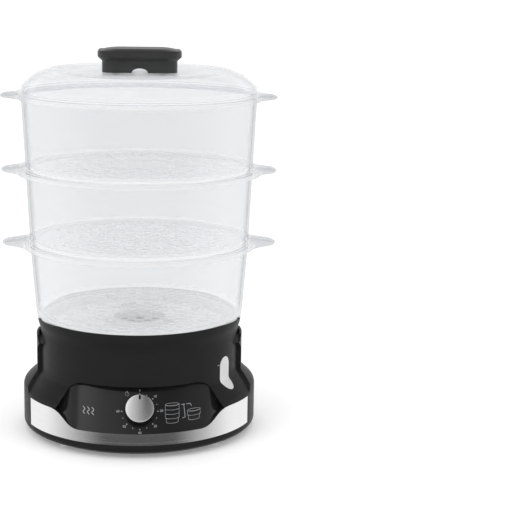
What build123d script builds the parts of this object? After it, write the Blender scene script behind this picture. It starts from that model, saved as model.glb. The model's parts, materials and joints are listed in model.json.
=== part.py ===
from build123d import *
import os
from math import asin, atan, cos, degrees, pi, radians, sin, sqrt, tan

# Electric food steamer: a base with water tank, heater and clockwork timer, a drip tray, three
# steaming bowls and a domed lid, stacked on one axis. Millimetres, +Z up, front towards -Y.
# The origin is on the table under the middle of the stack.

os.makedirs("parts", exist_ok=True)

# ---------------------------------------------------------------- clearances
lift_gap = 0.3  # under a piece that lifts off
side_gap = 0.4  # round a spigot in its mouth
running_gap = 0.05  # round a turning shaft
screw_tip_gap = 0.5  # between a screw's end and the bottom of its hole

# ---------------------------------------------------------------- base housing
base_radius = 124.7
base_bottom = 5.0  # lower edge of the housing above the table
toe_round = 6.0
housing_wall = 2.5
shoulder_height = 46.5  # where the foot turns into the skirt
shoulder_round = 9.0
neck_radius = 105.7
neck_bottom = 64.0
neck_round = 6.0
neck_top = 109.0  # where the neck starts to flare into the lip
lip_flare = 3.3  # the lip's radius beyond the neck's
lip_flare_height = 119.0
lip_flare_round = 25.0
lip_top = 125.5
lip_wall = 2.0
lip_dip = 4.0  # how far the lip sinks at each side
lip_dip_half_width = 73.0
tray_ledge = 119.5
foot_ring_width = 18.7  # of the ring that closes the housing's foot round the cover

# ---------------------------------------------------------------- water inlet spouts, left and right
spout_stand = 4.6  # the spout's radius beyond the neck's
spout_wall = 2.0
spout_half_width = 17.0
spout_foot_half_width = 44.0
spout_mouth_half_width = 30.0
spout_top = 103.5
spout_funnel_height = 88.0  # where the spout starts to widen towards its mouth
inlet_floor = 96.5
inlet_floor_thickness = 2.5
inlet_half_width = 34.0
inlet_top = 109.0

# ---------------------------------------------------------------- bright band round the foot
band_thickness = 1.2
band_proud = 0.2
band_bottom = 14.5
band_top_front = 26.8
band_top_side = 43.5
band_half_angle = 66.2
band_rise_start = 62.0  # sideways distance where the upper edge starts to climb
band_rise_end = 94.0

# ---------------------------------------------------------------- control panel, sunk into the skirt
panel_top_depth = 10.01  # the panel's top behind the neck
panel_setback = 0.7  # the panel's foot behind the housing's outside
panel_thickness = 2.5
panel_pocket_wall = 2.0
panel_side_low = (87.2, 43.3)  # the side edge as seen from the front, sideways and up
panel_side_high = (66.8, 70.4)  # and its upper end, level with the panel's top
panel_corner_round = 20.0

# ---------------------------------------------------------------- water level window
window_angle = 57.5  # round from the front, on the right
window_width = 18.5
window_bottom = 55.0
window_top = 89.0
window_duct_wall = 2.0

# ---------------------------------------------------------------- water tank and what is in it
tank_wall = 2.0
tank_floor = 52.0  # underside
tank_well_setback = 39.7  # the tank's lower wall behind the housing's outside
tank_step_low = 77.0
tank_step_high = 83.0
tank_gap = 2.2  # between the tank's upper wall and the neck
tank_flange_thickness = 2.0
tank_opening = 38.0

heater_radius = 44.0
heater_sheet = 1.2
heater_dome_radius = 30.0
heater_dome_rise = 5.6
heater_seal_thickness = 1.2
heater_clamp_inner = 29.0
heater_clamp_thickness = 2.0
heater_stud_circle = 33.5
heater_stud_radius = 2.0
heater_stud_count = 3
heater_nut_radius = 4.2
heater_nut_height = 3.2
element_radius = 22.0
element_tube = 3.6
element_arc = 290.0
element_pin_radius = 1.8
element_pin_length = 14.0
thermostat_radius = 8.0
thermostat_height = 9.0
fuse_radius = 2.2
fuse_length = 18.0
fuse_offset = 40.0
diffuser_radius = 52.0
diffuser_wall = 2.0
diffuser_height = 27.0
diffuser_mouth = 36.0
diffuser_arch_radius = 6.0
diffuser_arch_count = 4

# ---------------------------------------------------------------- timer
dial_height = 46.5  # height of the knob's axis on the panel's face
knob_radius = 14.6
knob_skirt_radius = 15.4
knob_skirt_height = 3.0
knob_lift = 1.0  # clear of the panel
knob_height = 14.0  # face above the panel
knob_wall = 2.0
knob_hub_radius = 6.0
knob_face_thickness = 1.0
knob_face_inset = 0.2
pointer_length = 5.0
pointer_width = 2.0
pointer_inset = 0.6
shaft_radius = 3.0
timer_width = 44.0
timer_height = 32.0
timer_depth = 24.0
timer_wall = 1.6
timer_pad_radius = 12.0
timer_pad_depth = 4.5  # from the pocket's back to the timer's face
cam_radius = 9.0
cam_thickness = 3.0
cam_notch = 3.0
cam_setback = 8.0  # inside the timer's front wall
bell_radius = 13.0
bell_height = 7.0
bell_wall = 1.0
bell_post_radius = 2.5
bell_standoff = 2.0
timer_tab_width = 9.0  # screw tab beside the timer's case
timer_tab_height = 9.0
timer_tab_thickness = 2.0
timer_screw_radius = 1.5
timer_screw_length = 5.0
timer_screw_pad_radius = 4.0
timer_screw_head_radius = 2.8
timer_screw_head_height = 1.6

# ---------------------------------------------------------------- underside and rear
cover_inset = 9.7  # from the housing's outside to the cover's edge
cover_thickness = 2.2
foot_pad_radius = 9.0
foot_stem_radius = 3.0
foot_stem_rise = 1.5  # above the cover
foot_inset = 23.0  # from the cover's edge to the middle of a foot
foot_count = 4
cover_screw_inset = 4.0  # from the cover's edge to the middle of a screw
cover_screw_count = 4
cover_screw_radius = 1.4
cover_screw_length = 12.0
cover_screw_head_radius = 2.8
cover_screw_head_height = 1.6
cover_boss_radius = 4.2
cover_boss_height = 14.0
inlet_height = 26.0
inlet_hole_radius = 6.0
inlet_flange_radius = 8.5
inlet_flange_thickness = 2.5
inlet_bore_radius = 3.6
inlet_seat_depth = 0.6
block_width = 24.0
block_depth = 12.0
block_height = 14.0
block_offset = 24.0  # sideways from the middle
block_inset = 27.0  # from the cover's edge to the middle of the block
block_screw_radius = 1.8
lead_radius = 1.1
lead_run = 24.0  # straight run of a lead where it meets the timer
block_run = 50.0  # straight run of each lead where it leaves the terminal block

# ---------------------------------------------------------------- drip tray
tray_thickness = 2.0
tray_floor = 111.0  # underside
tray_chimney_radius = 30.0
tray_chimney_height = 8.0
tray_collar_inset = 1.8  # from the tray's rim to its collar
tray_collar_wall = 1.8
tray_collar_height = 3.6
tray_grip_stand = 0.3  # the grips' radius beyond the lip's
tray_grip_half_width = 22.0
tray_grip_rise = 0.5  # underside above the tray's rim
tray_grip_thickness = 2.4

# ---------------------------------------------------------------- bowls, from the lowest up
bowl_height = 77.45
bowl_wall = 2.0
bowl_floor = 2.0
bowl_floor_round = 5.0
bowl_foot_stand = 0.8  # the lowest bowl's foot beyond the lip
bowl_foot_inset = 0.1  # each other bowl's foot inside the mouth below it
bowl_flares = (6.1, 3.6, 4.0)  # from foot to mouth
bowl_rim_widths = (7.5, 9.2, 4.7)  # from mouth to the rim's edge
bowl_spigot_wall = 1.6
bowl_spigot_depth = 3.0
rim_thickness = 2.0
rim_turn_down = 4.8
rim_turn_down_wall = 1.8
ear_tip_round = 12.0
ear_length = 16.4  # beyond the widest rim
ear_root_depth = 40.0  # from the ear's tip back to where its flanks start, inside the rim
ear_root_half_width = 39.0
ear_root_round = 8.0
slot_length = 9.0
slot_width = 4.0
slot_pitch = 16.0  # along a row
slot_rows = (18.0, 46.0, 80.0, 94.0)
egg_hole_radius = 6.0
egg_hole_circle = 62.0
egg_hole_count = 6

# ---------------------------------------------------------------- lid and its handle
lid_wall = 2.0
lid_rim_inset = 0.5  # inside the uppermost bowl's rim
lid_rim_thickness = 2.0
lid_wall_inset = 0.8  # inside the uppermost bowl's mouth
lid_wall_height = 8.0  # above the lid's seat
lid_shoulder = (6.2, 14.0)  # in from the lid's wall, and up from its seat
lid_slope = (14.5, 20.3)
lid_crest = (29.0, 26.0)
lid_dish = (44.5, 22.8)
lid_spigot_wall = 1.6
lid_spigot_depth = 5.0
handle_width = 78.0
handle_depth = 44.0
handle_neck_height = 11.2
handle_corner = 10.0
cap_overhang = 4.5
cap_chamfer_height = 5.0
cap_side_height = 5.0
cap_crown_height = 4.5
cap_crown_inset = 13.5
cap_crown_depth_inset = 9.0
notch_half_width = 8.5
notch_height = 4.8
lid_screw_radius = 1.8
lid_screw_spacing = 50.0
lid_screw_length = 9.0
lid_screw_head_radius = 3.5
lid_screw_head_height = 2.0

# ---------------------------------------------------------------- sizes that follow from them
neck_inner = neck_radius - housing_wall
lip_radius = neck_radius + lip_flare
spout_radius = neck_radius + spout_stand
tank_well_radius = base_radius - tank_well_setback
bottom_opening = base_radius - foot_ring_width
cover_radius = base_radius - cover_inset
cover_screw_circle = cover_radius - cover_screw_inset
foot_circle = cover_radius - foot_inset
tank_radius = neck_inner - tank_gap
lip_inner = lip_radius - lip_wall
pocket_depth = panel_thickness + panel_pocket_wall
window_middle = (window_bottom + window_top) / 2
window_length = window_top - window_bottom
cover_bottom = base_bottom - cover_thickness
beyond = 40.0  # how far a cutting tool reaches past the solids
panel_foot_height = band_top_front
panel_foot_radius = base_radius - panel_setback
panel_slope = (panel_foot_radius - neck_radius + panel_top_depth) / (panel_side_high[1] - panel_foot_height)
panel_lean = degrees(atan(panel_slope))  # back from upright
dial_radius = panel_foot_radius - (dial_height - panel_foot_height) * panel_slope
block_place = (block_offset, cover_radius - block_inset)


def radial_plane(angle):
    """Upright plane through the axis whose X points outwards, angle degrees round from the front."""
    return Plane(
        origin=(0, 0, 0),
        x_dir=(sin(radians(angle)), -cos(radians(angle)), 0),
        z_dir=(-cos(radians(angle)), -sin(radians(angle)), 0),
    )


def outward_plane(angle, distance=0.0, height=0.0):
    """Upright plane facing outwards, angle degrees round from the front."""
    out = Vector(sin(radians(angle)), -cos(radians(angle)), 0)
    return Plane(
        origin=out * distance + Vector(0, 0, height),
        x_dir=(cos(radians(angle)), sin(radians(angle)), 0),
        z_dir=out,
    )


def turn(points, rounds=(), start=90.0, arc=360.0, mode=Mode.ADD):
    """Revolve a closed outline of (radius, height) points about Z, after rounding some corners."""
    with BuildSketch(radial_plane(start)) as outline:
        with BuildLine():
            Polyline(*points, close=True)
        make_face()
        for corner, radius in rounds:
            fillet(outline.vertices().sort_by_distance(corner)[0], radius)
    revolve(outline.sketch, axis=Axis.Z, revolution_arc=arc, mode=mode)


def parallel(points, distance):
    """The open outline moved to its left by distance, with mitred corners."""
    runs = [(Vector(*b) - Vector(*a)).normalized() for a, b in zip(points, points[1:])]
    moved = []
    for point, before, after in zip(points, [runs[0], *runs], [*runs, runs[-1]]):
        first_normal = Vector(-before.Y, before.X)
        mitre = (first_normal + Vector(-after.Y, after.X)).normalized()
        reach = distance / mitre.dot(first_normal)
        moved.append((point[0] + mitre.X * reach, point[1] + mitre.Y * reach))
    return moved


def save(part, name):
    """Name a finished piece and write it."""
    part.label = name
    export_step(part, f"parts/{name}.step")


# ================================================================ shared shapes of the base
housing_outline = [
    (base_radius, base_bottom),
    (base_radius, shoulder_height),
    (neck_radius, neck_bottom),
    (neck_radius, neck_top),
    (lip_radius, lip_flare_height),
    (lip_radius, lip_top),
]
housing_rounds = [
    ((base_radius, base_bottom), toe_round),
    ((base_radius, shoulder_height), shoulder_round),
    ((neck_radius, neck_bottom), neck_round),
    ((neck_radius, neck_top), lip_flare_round),
    ((lip_radius, lip_flare_height), lip_flare_round),
]
inner_foot = parallel(housing_outline[:4], housing_wall)
cavity_outline = [
    (0, base_bottom - 1),
    (bottom_opening, base_bottom - 1),
    (bottom_opening, base_bottom + housing_wall),
    (base_radius - housing_wall, base_bottom + housing_wall),
    *inner_foot[1:3],
    (neck_inner, tray_ledge),
    (lip_inner, tray_ledge),
    (lip_inner, lip_top + 1),
    (0, lip_top + 1),
]
cavity_rounds = [
    ((base_radius - housing_wall, base_bottom + housing_wall), toe_round - housing_wall),
    (inner_foot[1], shoulder_round - housing_wall),
    (inner_foot[2], neck_round + housing_wall),
]

# Solid with the whole outer surface of the housing, without its hollow.
with BuildPart() as envelope:
    turn([(0, base_bottom), *housing_outline, (0, lip_top)], housing_rounds)

with BuildPart() as cavity:
    turn(cavity_outline, cavity_rounds)


def above_band(drop):
    """Prism, seen from the front, of everything above the band's climbing upper edge less drop."""
    with BuildPart() as region:
        with BuildSketch(Plane.XZ) as above:
            with BuildLine():
                level = Line((0, band_top_front - drop), (band_rise_start, band_top_front - drop))
                climb = Spline(
                    level @ 1,
                    (band_rise_end, band_top_side - drop),
                    tangents=((1, 0), (1, 0)),
                )
                Polyline(
                    climb @ 1,
                    (base_radius + beyond, band_top_side - drop),
                    (base_radius + beyond, panel_side_high[1] + beyond),
                    (0, panel_side_high[1] + beyond),
                    level @ 0,
                )
            make_face()
            mirror(about=Plane.YZ)
        extrude(amount=base_radius + beyond)
    return region.part


def panel_outline(spread):
    """Prism, seen from the front, of the panel's sides, rounded upper corners and top, widened by spread."""
    steep = (panel_side_high[1] - panel_side_low[1]) / (panel_side_low[0] - panel_side_high[0])
    foot = panel_foot_height - beyond / 2
    with BuildPart() as region:
        with BuildSketch(Plane.XZ) as outline:
            with BuildLine():
                Polyline(
                    (0, foot),
                    (panel_side_high[0] + (panel_side_high[1] - foot) / steep, foot),
                    panel_side_high,
                    (0, panel_side_high[1]),
                    close=True,
                )
            make_face()
            fillet(outline.vertices().sort_by_distance(panel_side_high)[0], panel_corner_round)
            mirror(about=Plane.YZ)
            if spread > 0:
                offset(amount=spread)
        extrude(amount=base_radius + beyond)
    return region.part


def panel_recess(depth, spread):
    """Space in front of a face that lies depth behind the panel's, wider by spread all round.

    The face is round in plan with the foot's own radius and slides straight back as it rises.
    """
    start = panel_foot_height - beyond
    middle = depth / cos(radians(panel_lean)) - beyond * panel_slope
    with BuildPart() as space:
        add(panel_outline(spread))
        add(above_band(spread), mode=Mode.INTERSECT)
        add(envelope.part, mode=Mode.INTERSECT)
        with BuildSketch(Plane(origin=(0, middle, start))):
            Circle(panel_foot_radius)
        extrude(amount=4 * beyond, dir=(0, panel_slope, 1), mode=Mode.SUBTRACT)
    return space.part


recess = panel_recess(0, 0)
panel_space = panel_recess(panel_thickness, 0)
pocket_space = panel_recess(pocket_depth, panel_pocket_wall)

knob_out = Vector(0, -cos(radians(panel_lean)), sin(radians(panel_lean)))
dial_plane = Plane(origin=(0, -dial_radius, dial_height), x_dir=(1, 0, 0), z_dir=knob_out)
timer_front = -(pocket_depth + timer_pad_depth)  # along the knob's axis, from the panel's face
timer_back = timer_front - timer_depth
timer_screw_places = [(side * (timer_width + timer_tab_width) / 2, 0) for side in (-1, 1)]

# ================================================================ bright metal band
with BuildPart() as front_band:
    turn(
        [
            (base_radius - band_thickness, band_bottom),
            (base_radius + band_proud, band_bottom),
            (base_radius + band_proud, band_top_side),
            (base_radius - band_thickness, band_top_side),
        ],
        start=-band_half_angle,
        arc=2 * band_half_angle,
    )
    add(above_band(0), mode=Mode.SUBTRACT)
save(front_band.part, "front_band")

# ================================================================ base housing
skirt_slope = (neck_bottom - shoulder_height) / (base_radius - neck_radius)
spout_shoulder = shoulder_height + (spout_radius - neck_radius) * skirt_slope
spout_start = shoulder_height - shoulder_round
spout_outline = [
    (base_radius, spout_start),
    (base_radius, spout_shoulder),
    (spout_radius, neck_bottom),
    (spout_radius, spout_top),
]
with BuildSketch(Plane.YZ) as spout_face:
    with BuildLine():
        Polyline(
            (0, shoulder_height),
            (spout_foot_half_width, shoulder_height),
            (spout_half_width, neck_bottom),
            (spout_half_width, spout_funnel_height),
            (spout_mouth_half_width, inlet_floor),
            (spout_half_width, spout_top),
            (0, spout_top),
            close=True,
        )
    make_face()
    mirror(about=Plane.YZ)
with BuildPart() as spouts:
    turn(
        [(neck_inner, spout_start), *spout_outline, (neck_inner, spout_top)],
        [(spout_outline[1], shoulder_round)],
    )
    extrude(spout_face.sketch, amount=base_radius, both=True, mode=Mode.INTERSECT)

# Each spout is a shell too: the hollow behind it opens to the inside of the housing.
shelf_bottom = inlet_floor - inlet_floor_thickness
spout_inside = parallel(spout_outline, housing_wall)
with BuildSketch(Plane.YZ) as spout_hollow_face:
    add(spout_face.sketch_local)
    offset(amount=-housing_wall, kind=Kind.INTERSECTION, mode=Mode.REPLACE)
with BuildPart() as spout_hollows:
    turn(
        [
            (neck_inner - 1, spout_start),
            *spout_inside[:3],
            (spout_inside[3][0], shelf_bottom),
            (neck_inner - 1, shelf_bottom),
        ],
        [(spout_inside[1], shoulder_round - housing_wall)],
    )
    extrude(spout_hollow_face.sketch, amount=base_radius, both=True, mode=Mode.INTERSECT)

# The way in for the water: an arch through the neck at each side, behind the spout's front wall.
with BuildPart() as inlets:
    with BuildSketch(Plane.YZ):
        with BuildLine():
            floor_line = Line((-inlet_half_width, inlet_floor), (inlet_half_width, inlet_floor))
            ThreePointArc(floor_line @ 0, (0, inlet_top), floor_line @ 1)
        make_face()
    extrude(amount=base_radius, both=True)
    turn(
        [
            (0, inlet_floor - 1),
            (spout_radius - spout_wall, inlet_floor - 1),
            (spout_radius - spout_wall, inlet_top + 1),
            (0, inlet_top + 1),
        ],
        mode=Mode.INTERSECT,
    )

with BuildPart() as window_hole:
    with BuildSketch(outward_plane(window_angle, tank_well_radius / 2, window_middle)):
        SlotOverall(window_length, window_width, rotation=90)
    extrude(amount=base_radius)

lip_dip_radius = (lip_dip_half_width**2 + lip_dip**2) / (2 * lip_dip)
with BuildPart() as base_housing:
    add(envelope.part)
    add(cavity.part, mode=Mode.SUBTRACT)
    # spouts, with a floor that carries the water over to the tank's wall
    add(spouts.part)
    add(spout_hollows.part, mode=Mode.SUBTRACT)
    with BuildSketch(Plane.XY.offset(shelf_bottom)):
        Circle(neck_inner + 1)
        Rectangle(2 * base_radius, 2 * inlet_half_width, mode=Mode.INTERSECT)
        Circle(tank_radius, mode=Mode.SUBTRACT)
    extrude(amount=inlet_floor_thickness)
    add(inlets.part, mode=Mode.SUBTRACT)
    # pocket for the control panel, with flat pads behind it for the timer
    add(pocket_space)
    with BuildSketch(dial_plane.offset(timer_front)):
        Circle(timer_pad_radius)
        with Locations(*timer_screw_places):
            Circle(timer_screw_pad_radius)
    extrude(amount=timer_pad_depth + panel_pocket_wall)
    add(panel_space, mode=Mode.SUBTRACT)
    with BuildSketch(dial_plane.offset(timer_front)):
        Circle(shaft_radius + side_gap)
    extrude(amount=beyond, mode=Mode.SUBTRACT)
    with BuildSketch(dial_plane.offset(timer_front)):
        with Locations(*timer_screw_places):
            Circle(timer_screw_radius)
    extrude(amount=timer_screw_length - timer_tab_thickness, mode=Mode.SUBTRACT)
    # seats of the band, the window and the cord inlet
    add(front_band.part, mode=Mode.SUBTRACT)
    add(window_hole.part, mode=Mode.SUBTRACT)
    with BuildSketch(outward_plane(180, tank_well_radius, inlet_height)):
        Circle(inlet_hole_radius)
    extrude(amount=beyond * 2, mode=Mode.SUBTRACT)
    with BuildSketch(outward_plane(180, base_radius - inlet_seat_depth, inlet_height)):
        Circle(inlet_flange_radius)
    extrude(amount=beyond, mode=Mode.SUBTRACT)
    # the lip dips at both sides, to bare the tray's grips
    with BuildSketch(Plane.YZ):
        with Locations((0, lip_top - lip_dip + lip_dip_radius)):
            Circle(lip_dip_radius)
    extrude(amount=base_radius, both=True, mode=Mode.SUBTRACT)
    # bosses for the cover's screws
    with BuildSketch(Plane.XY.offset(base_bottom)):
        with PolarLocations(cover_screw_circle, cover_screw_count, start_angle=45):
            Circle(cover_boss_radius)
    extrude(amount=cover_boss_height)
    with BuildSketch(Plane.XY.offset(base_bottom)):
        with PolarLocations(cover_screw_circle, cover_screw_count, start_angle=45):
            Circle(cover_screw_radius)
    extrude(amount=cover_screw_length, mode=Mode.SUBTRACT)
save(base_housing.part, "base_housing")

# ================================================================ control panel
with BuildPart() as control_panel:
    add(panel_space)
    add(recess, mode=Mode.SUBTRACT)
    add(front_band.part, mode=Mode.SUBTRACT)
    with BuildSketch(dial_plane.offset(-beyond)):
        Circle(shaft_radius + running_gap)
    extrude(amount=2 * beyond, mode=Mode.SUBTRACT)
save(control_panel.part, "control_panel")

# ================================================================ water level window
with BuildPart() as water_window:
    add(window_hole.part)
    add(envelope.part, mode=Mode.INTERSECT)
    add(cavity.part, mode=Mode.SUBTRACT)
save(water_window.part, "water_window")

# ================================================================ water tank
tank_outline = [
    (tank_well_radius, tank_floor),
    (tank_well_radius, tank_step_low),
    (tank_radius, tank_step_high),
    (tank_radius, tray_ledge),
]
with BuildPart() as window_duct:
    with BuildSketch(outward_plane(window_angle, tank_well_radius - tank_wall, window_middle)):
        SlotOverall(window_length + 2 * window_duct_wall, window_width + 2 * window_duct_wall, rotation=90)
    extrude(amount=base_radius)
    add(cavity.part, mode=Mode.INTERSECT)

with BuildPart() as water_tank:
    turn([(0, tank_floor), *tank_outline, (0, tray_ledge)])
    add(window_duct.part)
    turn(
        [
            (0, tray_ledge - tank_flange_thickness),
            (neck_inner, tray_ledge - tank_flange_thickness),
            (neck_inner, tray_ledge),
            (0, tray_ledge),
        ]
    )
    inside = parallel(tank_outline, tank_wall)
    turn(
        [
            (0, tank_floor + tank_wall),
            (inside[0][0], tank_floor + tank_wall),
            *inside[1:3],
            (inside[3][0], tray_ledge + 1),
            (0, tray_ledge + 1),
        ],
        mode=Mode.SUBTRACT,
    )
    add(window_hole.part, mode=Mode.SUBTRACT)
    add(inlets.part, mode=Mode.SUBTRACT)
    with BuildSketch(Plane.XY.offset(tank_floor)):
        Circle(tank_opening)
    extrude(amount=tank_wall, mode=Mode.SUBTRACT)
save(water_tank.part, "water_tank")

# ================================================================ heater in the tank's floor
seal_bottom = tank_floor + tank_wall
plate_bottom = seal_bottom + heater_seal_thickness
clamp_bottom = tank_floor - heater_clamp_thickness

with BuildPart() as heater_seal:
    with BuildSketch(Plane.XY.offset(seal_bottom)):
        Circle(heater_radius)
        Circle(tank_opening, mode=Mode.SUBTRACT)
    extrude(amount=heater_seal_thickness)
save(heater_seal.part, "heater_seal")

with BuildPart() as heater_plate:
    dome = [
        (heater_radius, plate_bottom),
        (heater_radius, plate_bottom + heater_sheet),
        (heater_dome_radius + heater_sheet, plate_bottom + heater_sheet),
        (heater_dome_radius - heater_sheet, plate_bottom + heater_dome_rise + heater_sheet),
        (0, plate_bottom + heater_dome_rise + heater_sheet),
        (0, plate_bottom + heater_dome_rise),
        (heater_dome_radius - 2 * heater_sheet, plate_bottom + heater_dome_rise),
        (heater_dome_radius, plate_bottom),
    ]
    turn(dome)
    with BuildSketch(Plane.XY.offset(clamp_bottom - 2 * heater_nut_height)):
        with PolarLocations(heater_stud_circle, heater_stud_count, start_angle=90):
            Circle(heater_stud_radius)
    extrude(amount=plate_bottom - clamp_bottom + 2 * heater_nut_height)
save(heater_plate.part, "heater_plate")

with BuildPart() as heater_clamp:
    with BuildSketch(Plane.XY.offset(clamp_bottom)):
        Circle(heater_radius)
        Circle(heater_clamp_inner, mode=Mode.SUBTRACT)
        with PolarLocations(heater_stud_circle, heater_stud_count, start_angle=90):
            Circle(heater_stud_radius, mode=Mode.SUBTRACT)
    extrude(amount=heater_clamp_thickness)
save(heater_clamp.part, "heater_clamp")

with BuildPart() as heater_nuts:
    with BuildSketch(Plane.XY.offset(clamp_bottom - heater_nut_height)):
        with PolarLocations(heater_stud_circle, heater_stud_count, start_angle=90):
            RegularPolygon(heater_nut_radius, 6)
            Circle(heater_stud_radius, mode=Mode.SUBTRACT)
    extrude(amount=heater_nut_height)
save(heater_nuts.part, "heater_nuts")

element_height = plate_bottom + heater_dome_rise - element_tube
element_start = 90 - element_arc / 2
element_pin_inset = degrees(element_tube / 2 / element_radius)
element_pin_start = element_start - 90 + element_pin_inset  # measured from +X
element_pin_range = element_arc - 2 * element_pin_inset
with BuildPart() as heating_element:
    with BuildSketch(radial_plane(element_start)):
        with Locations((element_radius, element_height)):
            Circle(element_tube)
    revolve(axis=Axis.Z, revolution_arc=element_arc)
    with BuildSketch(Plane.XY.offset(element_height - element_pin_length)):
        with PolarLocations(element_radius, 2, element_pin_start, element_pin_range, endpoint=True):
            Circle(element_pin_radius)
    extrude(amount=element_pin_length)
save(heating_element.part, "heating_element")

thermostat_top = plate_bottom + heater_dome_rise
with BuildPart() as thermostat:
    with BuildSketch(Plane.XY.offset(thermostat_top - thermostat_height)):
        Circle(thermostat_radius)
    extrude(amount=thermostat_height)
save(thermostat.part, "thermostat")

fuse_end = (-fuse_offset, -fuse_length / 2, clamp_bottom - fuse_radius)
with BuildPart() as thermal_fuse:
    with BuildSketch(Plane(origin=fuse_end, z_dir=(0, 1, 0))):
        Circle(fuse_radius)
    extrude(amount=fuse_length)
save(thermal_fuse.part, "thermal_fuse")

# ================================================================ steam diffuser, lifts out of the tank
diffuser_foot = tank_floor + tank_wall + lift_gap
diffuser_top = diffuser_foot + diffuser_height
with BuildPart() as steam_diffuser:
    turn(
        [
            (diffuser_radius, diffuser_foot),
            (diffuser_radius, diffuser_top),
            (diffuser_mouth, diffuser_top),
            (diffuser_mouth, diffuser_top - diffuser_wall),
            (diffuser_radius - diffuser_wall, diffuser_top - diffuser_wall),
            (diffuser_radius - diffuser_wall, diffuser_foot),
        ]
    )
    for side in range(diffuser_arch_count):
        with BuildSketch(outward_plane(45 + side * 360 / diffuser_arch_count, 0, diffuser_foot)):
            Circle(diffuser_arch_radius)
        extrude(amount=diffuser_radius + 1, mode=Mode.SUBTRACT)
save(steam_diffuser.part, "steam_diffuser")

# ================================================================ timer: shaft, cam, case, bell, screws
shaft_end = timer_back
with BuildPart() as timer_shaft:
    with BuildSketch(dial_plane.offset(shaft_end)):
        Circle(shaft_radius)
    extrude(amount=knob_height - knob_face_thickness - knob_wall - shaft_end)
save(timer_shaft.part, "timer_shaft")

cam_front = timer_front - timer_wall - cam_setback
with BuildPart() as timer_cam:
    with BuildSketch(dial_plane.offset(cam_front - cam_thickness)):
        Circle(cam_radius)
        with Locations((0, cam_radius)):
            Circle(cam_notch, mode=Mode.SUBTRACT)
        Circle(shaft_radius, mode=Mode.SUBTRACT)
    extrude(amount=cam_thickness)
save(timer_cam.part, "timer_cam")

with BuildPart() as timer_case:
    with BuildSketch(dial_plane.offset(timer_back)):
        Rectangle(timer_width, timer_height)
    extrude(amount=timer_depth)
    fillet(timer_case.edges().filter_by(Axis((0, 0, 0), knob_out)), timer_wall)
    with BuildSketch(dial_plane.offset(timer_back + timer_wall)):
        Rectangle(timer_width - 2 * timer_wall, timer_height - 2 * timer_wall)
    extrude(amount=timer_depth - 2 * timer_wall, mode=Mode.SUBTRACT)
    with BuildSketch(dial_plane.offset(timer_back)):
        Circle(shaft_radius + running_gap)
    extrude(amount=timer_depth, mode=Mode.SUBTRACT)
    with BuildSketch(dial_plane.offset(timer_front - timer_tab_thickness)):
        with Locations(*timer_screw_places):
            Rectangle(timer_tab_width, timer_tab_height)
            Circle(timer_screw_radius, mode=Mode.SUBTRACT)
    extrude(amount=timer_tab_thickness)
save(timer_case.part, "timer_case")

with BuildPart() as timer_screws:
    with BuildSketch(dial_plane.offset(timer_front - timer_tab_thickness)):
        with Locations(*timer_screw_places):
            Circle(timer_screw_radius)
    extrude(amount=timer_screw_length - screw_tip_gap)
    with BuildSketch(dial_plane.offset(timer_front - timer_tab_thickness)):
        with Locations(*timer_screw_places):
            Circle(timer_screw_head_radius)
    extrude(amount=-timer_screw_head_height)
save(timer_screws.part, "timer_screws")

bell_front = timer_back - bell_standoff
with BuildPart() as timer_bell:
    with BuildSketch(dial_plane.offset(bell_front)):
        Circle(bell_radius)
    extrude(amount=-bell_height)
    fillet(timer_bell.edges().group_by(Axis((0, 0, 0), knob_out))[0], bell_height / 2)
    with BuildSketch(dial_plane.offset(bell_front)):
        Circle(bell_radius - bell_wall)
    extrude(amount=-(bell_height / 2), mode=Mode.SUBTRACT)
    with BuildSketch(dial_plane.offset(timer_back)):
        with Locations((0, -shaft_radius - bell_post_radius - 1)):
            Circle(bell_post_radius)
    extrude(amount=-(bell_standoff + bell_height - bell_wall))
save(timer_bell.part, "timer_bell")

# ================================================================ knob on the timer's shaft
hub_top = knob_height - knob_face_thickness
with BuildPart() as timer_knob:
    with BuildSketch(dial_plane.offset(knob_lift)):
        Circle(knob_skirt_radius)
    extrude(amount=knob_skirt_height - knob_lift)
    with BuildSketch(dial_plane.offset(knob_skirt_height)):
        Circle(knob_radius)
    extrude(amount=hub_top - knob_skirt_height)
    with BuildSketch(dial_plane.offset(knob_lift)):
        Circle(knob_radius - knob_wall)
        Circle(knob_hub_radius, mode=Mode.SUBTRACT)
    extrude(amount=hub_top - knob_wall - knob_lift, mode=Mode.SUBTRACT)
    with BuildSketch(dial_plane.offset(knob_lift)):
        Circle(shaft_radius)
    extrude(amount=hub_top - knob_wall - knob_lift, mode=Mode.SUBTRACT)
save(timer_knob.part, "timer_knob")

pointer_place = (0, knob_radius - pointer_inset - pointer_length / 2)
with BuildPart() as knob_face:
    with BuildSketch(dial_plane.offset(hub_top)):
        Circle(knob_radius - knob_face_inset)
        with Locations(pointer_place):
            SlotOverall(pointer_length, pointer_width, rotation=90, mode=Mode.SUBTRACT)
    extrude(amount=knob_face_thickness)
save(knob_face.part, "knob_face")

with BuildPart() as knob_pointer:
    with BuildSketch(dial_plane.offset(hub_top)):
        with Locations(pointer_place):
            SlotOverall(pointer_length, pointer_width, rotation=90)
    extrude(amount=knob_face_thickness)
save(knob_pointer.part, "knob_pointer")

# ================================================================ underside
with BuildPart() as bottom_cover:
    with BuildSketch(Plane.XY.offset(cover_bottom)):
        Circle(cover_radius)
        with PolarLocations(cover_screw_circle, cover_screw_count, start_angle=45):
            Circle(cover_screw_radius, mode=Mode.SUBTRACT)
        with PolarLocations(foot_circle, foot_count, start_angle=0):
            Circle(foot_stem_radius, mode=Mode.SUBTRACT)
    extrude(amount=cover_thickness)
save(bottom_cover.part, "bottom_cover")

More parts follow.
